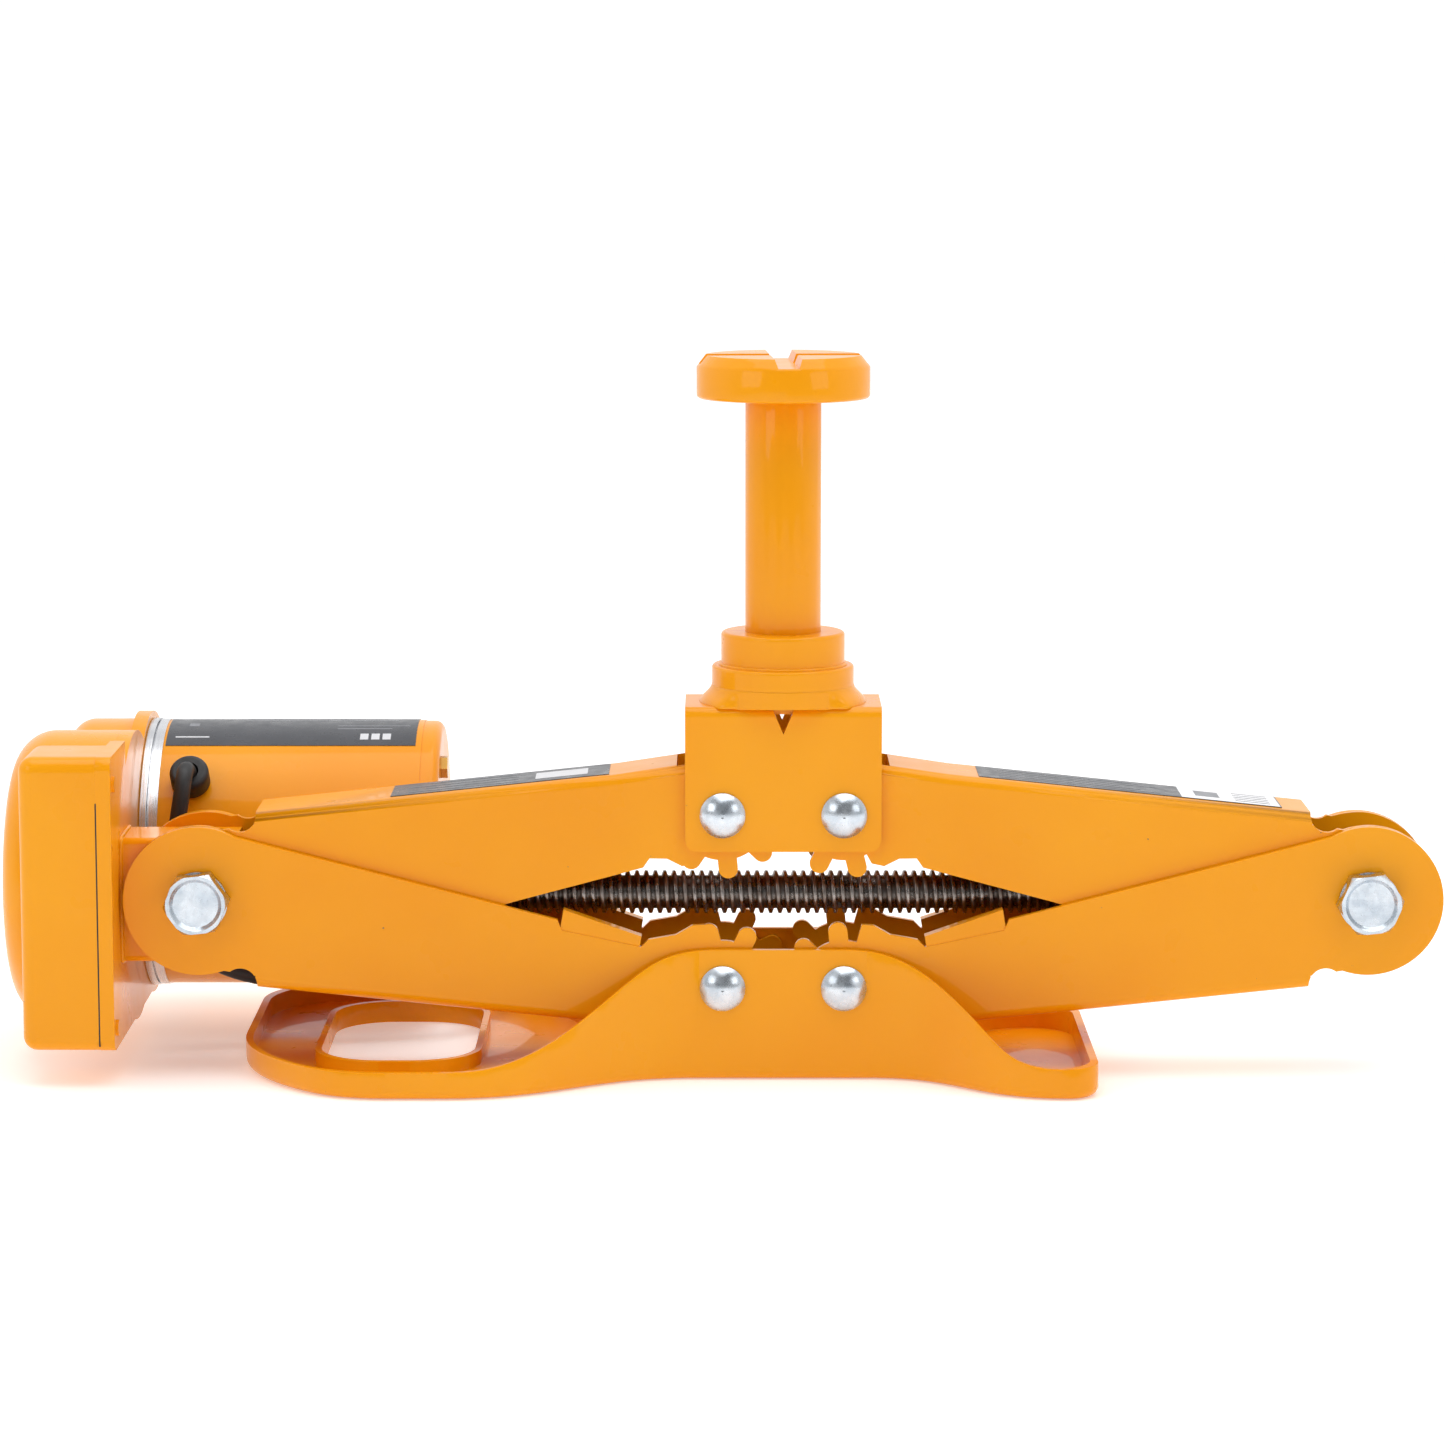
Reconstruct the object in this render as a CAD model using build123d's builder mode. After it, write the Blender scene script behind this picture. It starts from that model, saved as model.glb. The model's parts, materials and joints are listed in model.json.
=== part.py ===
"""Electric scissor car jack.

Millimetres, +Z up, +X along the lead screw away from the gearbox, +Y towards the motor.
The origin is on the ground, under the lifting post and midway between the side plates.
The jack stands at its lowest arm position with the lifting post drawn out.
"""

from build123d import *
import math
import os

# Driving dimensions: the linkage
ARM_LENGTH = 171.0
REST_ANGLE = 9.4
PIN_X = 19.5
LOWER_PIN_Z = 30.0
RISE = ARM_LENGTH * math.sin(math.radians(REST_ANGLE))
REACH = ARM_LENGTH * math.cos(math.radians(REST_ANGLE))
TRUNNION_X = PIN_X + REACH
TRUNNION_Z = LOWER_PIN_Z + RISE
UPPER_PIN_Z = TRUNNION_Z + RISE

# Layers across the jack, as distances from its middle plane
BLOCK_HALF = 12.5
UPPER_IN, UPPER_OUT = 12.8, 15.0
SHEET_IN, SHEET_OUT = 15.3, 17.7
BASE_OUT = 20.5
FIT = 0.05
OPEN_PIVOT_FIT = 0.3

# Arms
EAR_R = 24.1
WEB_END_U, WEB_START_U, WEB_MID_U = 148.0, 12.0, 32.0
WEB_END_V, WEB_MID_V = 25.0, 18.0
BEND_R = 3.0
NOTCH_R, NOTCH_SHOULDER_U, NOTCH_SHOULDER_V = 5.4, 159.3, 21.1
LIP_CORNERS = ((28.4, -8.0), (54.6, -8.6), (54.6, -16.4), (28.4, -11.9))
LIP_INWARD = 3.0
CLEAR = 60.0
GEAR_TEETH_STEP = 40.0
GEAR_ROOT_R, GEAR_TIP_R, GEAR_TOOTH_W = 15.0, 21.0, 6.2
GEAR_PHASE_A, GEAR_PHASE_B = 86.0, 106.0
SECTOR_TEETH = 4

# Rivets, bolts and screw
RIVET_R, RIVET_HEAD_R, RIVET_HEAD_H = 5.0, 7.3, 4.0
BOLT_R, BOLT_HEX_AF, BOLT_HEAD_H = 6.0, 18.6, 7.4
SCREW_R, SCREW_ROOT_R, SCREW_PITCH = 7.0, 5.4, 3.0
JOURNAL_R = 5.2
SCREW_LEFT, SCREW_RIGHT = -230.6, 206.0
THREAD_START = -172.0

# Base tray
FLOOR_T, RIM_H, LUG_H = 2.5, 8.8, 42.5
TRAY_LEFT, TRAY_RIGHT = -176.0, 100.0
TRAY_NEAR, TRAY_FAR_LEFT, TRAY_FAR_RIGHT = -51.0, 97.0, 51.0

# Saddle and post
SADDLE_HALF_X, SADDLE_BOTTOM, SADDLE_TOP, SHEET_T = 31.5, 74.0, 120.7, 2.4
COLLAR_R, COLLAR_TOP = 22.9, 132.7
SLEEVE_R, SLEEVE_TOP = 19.95, 143.4
STEM_R, STEM_BOTTOM, STEM_TOP = 12.2, 130.0, 218.5
HEAD_R, HEAD_TOP = 27.8, 232.4

# Gearbox and motor
PLATE_RIGHT, PLATE_LEFT = -213.7, -218.5
GEARBOX_NEAR, GEARBOX_LOW, GEARBOX_HIGH = -32.6, 11.5, 106.6
COVER_LEFT, COVER_NEAR_BACK, COVER_WALL = -243.4, -4.5, 2.5
DRUM_Y, DRUM_R, DRUM_LEFT = 32.0, 48.0, -253.0
MOTOR_Y, MOTOR_R, MOTOR_END = 78.0, 44.9, -114.5
BELL_R, BELL_LEFT = 45.4, -241.0
CAN_LEFT, CAN_SEAM = -207.5, -120.7
SHAFT_Z = TRUNNION_Z

Y_OUT = Plane.XZ


def save(piece, label):
    """Name a finished piece and write its file."""
    piece.part.label = label
    export_step(piece.part, f"parts/{label}.step")


def arm_plane(side, level):
    """Plane of one arm: local x from its centre pin to its trunnion, local y away from the screw."""
    angle = math.radians(REST_ANGLE)
    pin_z = UPPER_PIN_Z if level > 0 else LOWER_PIN_Z
    along = (side * math.cos(angle), 0, -level * math.sin(angle))
    return Plane(origin=(side * PIN_X, 0, pin_z), x_dir=along, z_dir=(0, -side * level, 0))


def cylinder_along_y(radius, start, end, x, z, mode=Mode.ADD):
    """Round bar or hole along Y."""
    with BuildSketch(Plane(origin=(x, start, z), x_dir=(1, 0, 0), z_dir=(0, 1, 0))) as section:
        Circle(radius)
    extrude(section.sketch, amount=end - start, mode=mode)


def cylinder_along_x(radius, start, end, y, z, mode=Mode.ADD):
    """Round bar or hole along X."""
    with BuildSketch(Plane(origin=(start, y, z), x_dir=(0, 1, 0), z_dir=(1, 0, 0))) as section:
        Circle(radius)
    extrude(section.sketch, amount=end - start, mode=mode)


def cylinder_along_z(radius, start, end, x=0.0, y=0.0, mode=Mode.ADD):
    """Round bar or hole along Z."""
    with BuildSketch(Plane.XY.offset(start)) as section:
        with Locations((x, y)):
            Circle(radius)
    extrude(section.sketch, amount=end - start, mode=mode)


def block(low, high, mode=Mode.ADD):
    """Rectangular block between two corners."""
    with BuildSketch(Plane.XY.offset(low[2])) as section:
        with Locations(((low[0] + high[0]) / 2, (low[1] + high[1]) / 2)):
            Rectangle(high[0] - low[0], high[1] - low[1])
    extrude(section.sketch, amount=high[2] - low[2], mode=mode)


def gear_sector(phase):
    """Flat teeth round the centre pin, which mesh with the opposite arm's."""
    Circle(GEAR_ROOT_R)
    slot_length = 13.0
    for tooth in range(SECTOR_TEETH):
        from_screw = phase - tooth * GEAR_TEETH_STEP
        with PolarLocations(GEAR_TIP_R - slot_length / 2, 1, 270.0 - from_screw + REST_ANGLE):
            SlotOverall(slot_length, GEAR_TOOTH_W)


def arm_outline(plane, screw_edge, phase):
    """Side view of an arm: plate, rounded end notch, trunnion ear and gear sector."""
    ear = (ARM_LENGTH, 0)
    with BuildSketch(plane) as outline:
        with BuildLine():
            Polyline(
                (0, WEB_MID_V - 0.5),
                (WEB_MID_U, WEB_MID_V),
                (WEB_END_U + 1.0, WEB_END_V),
                (WEB_END_U + 1.0, NOTCH_SHOULDER_V),
                (NOTCH_SHOULDER_U, NOTCH_SHOULDER_V),
                ear,
                *screw_edge,
                (0, 0),
                close=True,
            )
        make_face()
        with Locations(ear):
            Circle(EAR_R)
        gear_sector(phase)
        with Locations((WEB_END_U + NOTCH_R, WEB_END_V - 0.2)):
            Circle(NOTCH_R, mode=Mode.SUBTRACT)
    return outline.sketch


def arm_cavity(plane, sheet, inner):
    """Space between an arm's side plates, open at both ends of the web."""
    with BuildSketch(plane) as cavity:
        with BuildLine():
            Polyline(
                (-CLEAR, -CLEAR),
                (ARM_LENGTH + CLEAR, -CLEAR),
                (ARM_LENGTH + CLEAR, CLEAR),
                (WEB_END_U, CLEAR),
                (WEB_END_U, WEB_END_V - sheet),
                (WEB_MID_U, WEB_MID_V - sheet),
                (WEB_START_U, WEB_MID_V - sheet - 0.3),
                (WEB_START_U, CLEAR),
                (-CLEAR, CLEAR),
                close=True,
            )
        make_face()
    extrude(cavity.sketch, amount=inner, both=True, mode=Mode.SUBTRACT)


def arm_lips(plane, inner, outer):
    """Short turned-out lips on the screw side of a lower arm's plates."""
    for sign in (-1, 1):
        with BuildSketch(plane.offset(sign * (inner - LIP_INWARD))) as lip:
            with BuildLine():
                Polyline(*LIP_CORNERS, close=True)
            make_face()
        extrude(lip.sketch, amount=sign * (outer - inner + LIP_INWARD - 0.4))


def make_arm(label, side, level, phase, screw_edge, inner, outer, pin_fit):
    """Pressed channel: web away from the screw, two side plates, ears and gear sectors."""
    plane = arm_plane(side, level)
    with BuildPart() as arm:
        extrude(arm_outline(plane, screw_edge, phase), amount=outer, both=True)
        web_middle = ((WEB_END_U + WEB_MID_U) / 2, (WEB_END_V + WEB_MID_V) / 2, 0)
        middle = plane.from_local_coords(web_middle)
        long_edges = arm.edges().filter_by(GeomType.LINE).filter_by(lambda e: e.length > 90)
        web_edges = long_edges.filter_by(
            lambda e: abs((e @ 0.5).X - middle.X) < 6 and abs((e @ 0.5).Z - middle.Z) < 6
        )
        fillet(web_edges, BEND_R)
        arm_cavity(plane, outer - inner, inner)
        if level < 0:
            arm_lips(plane, inner, outer)
        reach = outer + 1
        with BuildSketch(plane.offset(-reach)):
            Circle(RIVET_R + pin_fit)
            with Locations((ARM_LENGTH, 0)):
                Circle(BOLT_R + FIT)
        extrude(amount=2 * reach, mode=Mode.SUBTRACT)
    save(arm, label)


# Screw-side edges of the arms, from the ear to the gear sector
LOWER_EDGE = (
    (171.0, -23.3),
    (56.0, -12.9),
    (54.0, -9.7),
    (28.0, -8.5),
    (26.0, -11.3),
    (17.7, -14.2),
    (12.8, -18.2),
    (9.0, -19.0),
)
UPPER_EDGE = (
    (171.5, -23.4),
    (76.0, -17.9),
    (71.0, -17.2),
    (28.0, -13.0),
    (25.5, -10.4),
    (20.0, -11.4),
    (15.6, -14.6),
    (11.5, -14.4),
)


def make_arms():
    """Two lower arms outside, two upper arms inside them at the trunnions."""
    make_arm("lower_arm_left", -1, -1, GEAR_PHASE_B, LOWER_EDGE, SHEET_IN, SHEET_OUT, FIT)
    make_arm("lower_arm_right", 1, -1, GEAR_PHASE_A, LOWER_EDGE, SHEET_IN, SHEET_OUT, FIT)
    make_arm("upper_arm_left", -1, 1, GEAR_PHASE_A, UPPER_EDGE, UPPER_IN, UPPER_OUT, FIT)
    make_arm("upper_arm_right", 1, 1, GEAR_PHASE_B, UPPER_EDGE, UPPER_IN, UPPER_OUT, OPEN_PIVOT_FIT)


# Tray outline: side flanges run straight at the lugs and flare out to the two ends
WAIST_Y = BASE_OUT
LUG_FLAT = 27.0


def tray_outline(inset):
    """Closed outline of the tray, moved in by the given amount."""
    near, left, right = TRAY_NEAR + inset, TRAY_LEFT + inset, TRAY_RIGHT - inset
    far_left, far_right, waist = TRAY_FAR_LEFT - inset, TRAY_FAR_RIGHT - inset, WAIST_Y - inset
    with BuildLine() as outline:
        Spline((-LUG_FLAT, -waist), (-67, near + 15), (-108, near), tangents=((-1, 0), (-1, 0)))
        Line((-108, near), (-126, near))
        Spline((-126, near), (-158, near + 16), (left, 12), tangents=((-1, 0), (0, 1)))
        Line((left, 12), (left, far_left - 30))
        RadiusArc((left, far_left - 30), (left + 30, far_left), 30)
        Line((left + 30, far_left), (-112, far_left))
        Spline((-112, far_left), (-72, far_left - 30), (-LUG_FLAT, waist), tangents=((1, 0), (1, 0)))
        Line((-LUG_FLAT, waist), (LUG_FLAT, waist))
        Spline((LUG_FLAT, waist), (60, far_right - 13), (86, far_right), tangents=((1, 0), (1, 0)))
        RadiusArc((86, far_right), (right, far_right - 14), 14)
        Line((right, far_right - 14), (right, near + 10))
        RadiusArc((right, near + 10), (right - 10, near), 10)
        Spline((right - 10, near), (60, near + 13), (LUG_FLAT, -waist), tangents=((-1, 0), (-1, 0)))
        Line((LUG_FLAT, -waist), (-LUG_FLAT, -waist))
    return outline


def lug_profile():
    """Height of the tray's wall along X: a low rim, rising to the lug in the middle."""
    with BuildLine() as profile:
        Line((TRAY_LEFT - 5, -5), (TRAY_LEFT - 5, RIM_H))
        Line((TRAY_LEFT - 5, RIM_H), (-105, RIM_H))
        Spline((-105, RIM_H), (-66, 21), (-48, 34), (-20, LUG_H), tangents=((1, 0), (1, 0)))
        Line((-20, LUG_H), (20, LUG_H))
        Spline((20, LUG_H), (44, 36), (64, 20), (88, RIM_H + 1), tangents=((1, 0), (1, 0)))
        Line((88, RIM_H + 1), (TRAY_RIGHT + 5, RIM_H + 2))
        Line((TRAY_RIGHT + 5, RIM_H + 2), (TRAY_RIGHT + 5, -5))
        Line((TRAY_RIGHT + 5, -5), (TRAY_LEFT - 5, -5))
    return profile


# Carry-handle hole
HOLE_X, HOLE_Y, HOLE_LENGTH, HOLE_WIDTH, HOLE_CORNER = -125.0, 23.0, 94.0, 50.0, 20.0
HOLE_LIP, HOLE_LIP_H = 2.2, 7.2


def make_base():
    """Pressed tray with an upturned rim, two pivot lugs and a carry-handle hole."""
    with BuildPart() as base:
        with BuildSketch(Plane.XY):
            add(tray_outline(0).line)
            make_face()
        extrude(amount=LUG_H)
        fillet(base.faces().sort_by(Axis.Z)[0].edges(), 3.0)
        with BuildSketch(Plane.XY.offset(FLOOR_T)):
            add(tray_outline(FLOOR_T).line)
            make_face()
        extrude(amount=LUG_H, mode=Mode.SUBTRACT)
        with BuildSketch(Y_OUT):
            add(lug_profile().line)
            make_face()
        extrude(amount=150, both=True, mode=Mode.INTERSECT)
        with BuildSketch(Plane.XY):
            with Locations((HOLE_X, HOLE_Y)):
                grown = 2 * HOLE_LIP
                RectangleRounded(HOLE_WIDTH + grown, HOLE_LENGTH + grown, HOLE_CORNER + HOLE_LIP)
        extrude(amount=HOLE_LIP_H)
        with BuildSketch(Plane.XY):
            with Locations((HOLE_X, HOLE_Y)):
                RectangleRounded(HOLE_WIDTH, HOLE_LENGTH, HOLE_CORNER)
        extrude(amount=RIM_H + 1, mode=Mode.SUBTRACT)
        for x in (-PIN_X, PIN_X):
            cylinder_along_y(RIVET_R, -BASE_OUT - 1, BASE_OUT + 1, x, LOWER_PIN_Z, Mode.SUBTRACT)
    save(base, "base_plate")


def make_rivet(label, x, z, sheet_out):
    """Pivot rivet: a plain shank with a domed head at each end."""
    edge_h = 0.8
    rise = RIVET_HEAD_H - edge_h
    dome_r = (RIVET_HEAD_R**2 + rise**2) / (2 * rise)
    half_turn = math.asin(RIVET_HEAD_R / dome_r) / 2
    tip = sheet_out + RIVET_HEAD_H
    shoulder = (dome_r * math.sin(half_turn), tip - dome_r + dome_r * math.cos(half_turn))
    with BuildPart() as rivet:
        with BuildSketch(Plane(origin=(x, 0, z), x_dir=(1, 0, 0), z_dir=(0, 0, 1))):
            with BuildLine():
                ThreePointArc((RIVET_HEAD_R, sheet_out + edge_h), shoulder, (0, tip))
                Line((0, tip), (0, -tip))
                ThreePointArc((0, -tip), (shoulder[0], -shoulder[1]), (RIVET_HEAD_R, -sheet_out - edge_h))
                Polyline(
                    (RIVET_HEAD_R, -sheet_out - edge_h),
                    (RIVET_HEAD_R, -sheet_out),
                    (RIVET_R, -sheet_out),
                    (RIVET_R, sheet_out),
                    (RIVET_HEAD_R, sheet_out),
                    (RIVET_HEAD_R, sheet_out + edge_h),
                )
            make_face()
        revolve(axis=Axis((x, 0, z), (0, 1, 0)))
    save(rivet, label)


def make_rivets():
    """Four pivot rivets: two through the tray's lugs, two through the saddle bracket."""
    for side, name in ((-1, "left"), (1, "right")):
        make_rivet(f"lower_rivet_{name}", side * PIN_X, LOWER_PIN_Z, BASE_OUT)
        make_rivet(f"upper_rivet_{name}", side * PIN_X, UPPER_PIN_Z, SHEET_OUT)


def make_saddle_bracket():
    """Folded bracket over the upper pins, with a notch at each fold and a hole for the guide tube."""
    with BuildPart() as bracket:
        block((-SADDLE_HALF_X, -SHEET_OUT, SADDLE_BOTTOM), (SADDLE_HALF_X, SHEET_OUT, SADDLE_TOP))
        top_edges = bracket.edges().filter_by(Axis.X).group_by(Axis.Z)[-1]
        fillet(top_edges, BEND_R)
        corners = bracket.edges().filter_by(Axis.Y).group_by(Axis.Z)[0]
        fillet(corners, 3.8)
        block(
            (-SADDLE_HALF_X - 1, -SHEET_IN, SADDLE_BOTTOM - 1),
            (SADDLE_HALF_X + 1, SHEET_IN, SADDLE_TOP - SHEET_T),
            Mode.SUBTRACT,
        )
        cylinder_along_z(STEM_R + FIT, SADDLE_TOP - 5, SADDLE_TOP + 1, mode=Mode.SUBTRACT)
        notch_top, notch_tip, notch_half = SADDLE_TOP - 0.4, SADDLE_TOP - 8.6, 3.5
        for x in (-PIN_X, PIN_X):
            cylinder_along_y(RIVET_R, -SHEET_OUT - 1, SHEET_OUT + 1, x, UPPER_PIN_Z, Mode.SUBTRACT)
        for low_y, high_y in ((-SHEET_OUT - 1, -SHEET_IN), (SHEET_IN, SHEET_OUT + 1)):
            with BuildSketch(Plane(origin=(0, low_y, 0), x_dir=(1, 0, 0), z_dir=(0, 1, 0))):
                with BuildLine():
                    Line((-notch_half, -notch_top), (0, -notch_tip))
                    Line((0, -notch_tip), (notch_half, -notch_top))
                    Line((notch_half, -notch_top), (-notch_half, -notch_top))
                make_face()
            extrude(amount=high_y - low_y, mode=Mode.SUBTRACT)
    save(bracket, "saddle_bracket")


def make_ring(label, outer, inner, low, high, round_r):
    """Upright ring with a rounded top edge."""
    with BuildPart() as ring:
        cylinder_along_z(outer, low, high)
        fillet(ring.edges().filter_by(GeomType.CIRCLE).sort_by(Axis.Z)[-1], round_r)
        cylinder_along_z(inner, low - 1, high + 1, mode=Mode.SUBTRACT)
    save(ring, label)


def make_post():
    """Sliding stem with a round lifting head that turns on it and a snap ring that keeps it."""
    neck_r, neck_top = 7.0, HEAD_TOP - 4.5
    slot_top_half, slot_low_half, slot_depth, slot_turn = 4.35, 3.3, 2.9, 3.0
    groove_low = neck_top - 2.6
    with BuildPart() as stem:
        cylinder_along_z(STEM_R, STEM_BOTTOM, STEM_TOP)
        chamfer(stem.edges().filter_by(GeomType.CIRCLE).sort_by(Axis.Z)[0], 1.0)
        cylinder_along_z(neck_r, STEM_TOP, neck_top)
        ring_low, ring_high = groove_low, groove_low + 1.3
        cylinder_along_z(neck_r + 1, ring_low, ring_high, mode=Mode.SUBTRACT)
        cylinder_along_z(neck_r - 0.8, ring_low, ring_high)
    save(stem, "post_stem")
    with BuildPart() as snap_ring:
        cylinder_along_z(neck_r + 1.4, groove_low, groove_low + 1.2)
        cylinder_along_z(neck_r - 0.8, groove_low - 1, groove_low + 2, mode=Mode.SUBTRACT)
        block((-neck_r - 3, -2, groove_low - 1), (0, 2, groove_low + 2), Mode.SUBTRACT)
    save(snap_ring, "head_snap_ring")
    with BuildPart() as head:
        cylinder_along_z(HEAD_R, STEM_TOP + 0.1, HEAD_TOP)
        rims = head.edges().filter_by(GeomType.CIRCLE).sort_by(Axis.Z)
        chamfer(rims[-1], 3.8, 2.8)
        fillet(head.edges().filter_by(GeomType.CIRCLE).sort_by(Axis.Z)[0], 1.2)
        for turn in (slot_turn, slot_turn + 90):
            across = Plane(origin=(0, 0, 0), x_dir=(1, 0, 0), z_dir=(0, -1, 0)).rotated((0, 0, turn))
            with BuildSketch(across):
                with BuildLine():
                    Polyline(
                        (-slot_low_half, HEAD_TOP - slot_depth),
                        (slot_low_half, HEAD_TOP - slot_depth),
                        (slot_top_half + 0.1, HEAD_TOP + 0.2),
                        (-slot_top_half - 0.1, HEAD_TOP + 0.2),
                        close=True,
                    )
                make_face()
            extrude(amount=HEAD_R + 2, both=True, mode=Mode.SUBTRACT)
        cylinder_along_z(neck_r + 1.8, groove_low - 0.6, neck_top + 0.3, mode=Mode.SUBTRACT)
        cylinder_along_z(neck_r + FIT, STEM_TOP - 1, groove_low, mode=Mode.SUBTRACT)
    save(head, "saddle_head")


def make_saddle():
    """Saddle bracket with its welded guide tube, and the lifting post."""
    make_saddle_bracket()
    make_ring("saddle_collar", COLLAR_R, SLEEVE_R, SADDLE_TOP, COLLAR_TOP, 1.0)
    make_ring("guide_sleeve", SLEEVE_R, STEM_R + FIT, SADDLE_TOP, SLEEVE_TOP, 1.2)
    make_post()


# Trunnions: the screw passes between short bolts, so each side has a front and a rear bolt
BOLT_INNER = 8.4
BORE_R = SCREW_R + 0.4
NUT_LEFT, NUT_RIGHT = 176.0, 200.0
BOX_LOW, BOX_HIGH, BOX_RIGHT = 37.0, 77.5, -176.5
BOLT_SEAT = SHEET_OUT + 0.3
HEX_TURN = 6.0
BOLT_CROWN_BASE_R, BOLT_CROWN_TAPER = 13.8, 29.7


def hexagon_head(seat):
    """Hexagon bolt head whose corners are turned down to a cone."""
    with BuildPart() as head:
        with BuildSketch(seat):
            RegularPolygon(BOLT_HEX_AF / 2, 6, major_radius=False, rotation=HEX_TURN)
        extrude(amount=BOLT_HEAD_H)
        with BuildSketch(seat):
            Circle(BOLT_CROWN_BASE_R)
        extrude(amount=BOLT_HEAD_H, taper=BOLT_CROWN_TAPER, mode=Mode.INTERSECT)
    return head.part


def make_bolt_pair(label, x):
    """Front and rear trunnion bolts with dished hexagon heads."""
    dish_r, dish_depth = 8.4, 1.3
    with BuildPart() as bolts:
        for end in (-1, 1):
            inner = Plane(origin=(x, end * BOLT_INNER, TRUNNION_Z), x_dir=(1, 0, 0), z_dir=(0, end, 0))
            with BuildSketch(inner):
                Circle(BOLT_R)
            extrude(amount=BOLT_SEAT - BOLT_INNER)
            seat = inner.offset(BOLT_SEAT - BOLT_INNER)
            with BuildSketch(seat):
                Circle(BOLT_HEX_AF / 2 + 0.4)
            extrude(amount=1.4)
            add(hexagon_head(seat))
            with BuildSketch(seat.offset(BOLT_HEAD_H)):
                Circle(dish_r)
            extrude(amount=-dish_depth, mode=Mode.SUBTRACT, taper=40)
    save(bolts, label)


def make_trunnions():
    """Fixed trunnion box on the gearbox side and the nut block on the far side."""
    with BuildPart() as box:
        block((PLATE_RIGHT, -BLOCK_HALF, BOX_LOW), (BOX_RIGHT, BLOCK_HALF, BOX_HIGH))
        fillet(box.edges().filter_by(Axis.X), 2.0)
        cylinder_along_x(BORE_R, PLATE_RIGHT - 1, BOX_RIGHT + 1, 0, SHAFT_Z, Mode.SUBTRACT)
        cylinder_along_y(BOLT_R, -BLOCK_HALF - 1, -BOLT_INNER, -TRUNNION_X, SHAFT_Z, Mode.SUBTRACT)
        cylinder_along_y(BOLT_R, BOLT_INNER, BLOCK_HALF + 1, -TRUNNION_X, SHAFT_Z, Mode.SUBTRACT)
    save(box, "trunnion_box")
    nut_half = 12.0
    with BuildPart() as nut:
        block((NUT_LEFT, -BLOCK_HALF, SHAFT_Z - nut_half), (NUT_RIGHT, BLOCK_HALF, SHAFT_Z + nut_half))
        fillet(nut.edges().filter_by(Axis.Y), 3.0)
        cylinder_along_x(SCREW_R + FIT, NUT_LEFT - 1, NUT_RIGHT + 1, 0, SHAFT_Z, Mode.SUBTRACT)
        cylinder_along_y(BOLT_R, -BLOCK_HALF - 1, -BOLT_INNER, TRUNNION_X, SHAFT_Z, Mode.SUBTRACT)
        cylinder_along_y(BOLT_R, BOLT_INNER, BLOCK_HALF + 1, TRUNNION_X, SHAFT_Z, Mode.SUBTRACT)
    save(nut, "nut_block")
    make_bolt_pair("trunnion_bolts_left", -TRUNNION_X)
    make_bolt_pair("trunnion_bolts_right", TRUNNION_X)


def make_screw():
    """Lead screw: trapezoidal grooves, a plain journal at the gearbox and an end stop."""
    crest, flank = 1.05, 0.5
    with BuildPart() as screw:
        with BuildSketch(Plane(origin=(0, 0, SHAFT_Z), x_dir=(1, 0, 0), z_dir=(0, -1, 0))):
            with BuildLine():
                points = [(SCREW_LEFT, 0), (SCREW_LEFT, JOURNAL_R), (THREAD_START, JOURNAL_R)]
                turns = int((SCREW_RIGHT - THREAD_START - 4) / SCREW_PITCH)
                for turn in range(turns):
                    start = THREAD_START + turn * SCREW_PITCH
                    points.append((start, SCREW_ROOT_R))
                    points.append((start + flank, SCREW_R))
                    points.append((start + flank + crest, SCREW_R))
                    points.append((start + 2 * flank + crest, SCREW_ROOT_R))
                points.append((SCREW_RIGHT, SCREW_ROOT_R))
                points.append((SCREW_RIGHT, 0))
                Polyline(*points, close=True)
            make_face()
        revolve(axis=Axis((0, 0, SHAFT_Z), (1, 0, 0)))
    save(screw, "lead_screw")
    with BuildPart() as stop:
        cylinder_along_x(9.0, SCREW_RIGHT - 3.6, SCREW_RIGHT, 0, SHAFT_Z)
        chamfer(stop.edges().filter_by(GeomType.CIRCLE), 0.6)
        cylinder_along_x(SCREW_ROOT_R, SCREW_RIGHT - 5, SCREW_RIGHT + 1, 0, SHAFT_Z, Mode.SUBTRACT)
    save(stop, "screw_end_stop")


# Gear train: motor pinion to large idler wheel, small idler pinion to the screw's gear
STAGE_1_MODULE, PINION_TEETH, WHEEL_TEETH = 1.0, 10, 82
STAGE_2_MODULE, IDLER_TEETH, SCREW_GEAR_TEETH = 2.0, 12, 20
STAGE_1_LEFT, STAGE_1_RIGHT = -237.0, -231.0
STAGE_2_LEFT, STAGE_2_RIGHT = -230.4, -222.4
IDLER_BORE_R = 4.0


def cut_gear(module, teeth, low, high, y, phase):
    """Spur gear along X with straight-sided teeth and generous backlash."""
    pitch_r = module * teeth / 2
    tip_r, root_r = pitch_r + 0.8 * module, pitch_r - 1.1 * module
    step = 2 * math.pi / teeth
    with BuildSketch(Plane(origin=(low, y, SHAFT_Z), x_dir=(0, 1, 0), z_dir=(1, 0, 0))) as gear:
        with BuildLine():
            points = []
            for tooth in range(teeth):
                centre = phase + tooth * step
                for radius, offset in ((root_r, -0.31), (tip_r, -0.11), (tip_r, 0.11), (root_r, 0.31)):
                    angle = centre + offset * step
                    points.append((radius * math.cos(angle), radius * math.sin(angle)))
            Polyline(*points, close=True)
        make_face()
    extrude(gear.sketch, amount=high - low)


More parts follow.
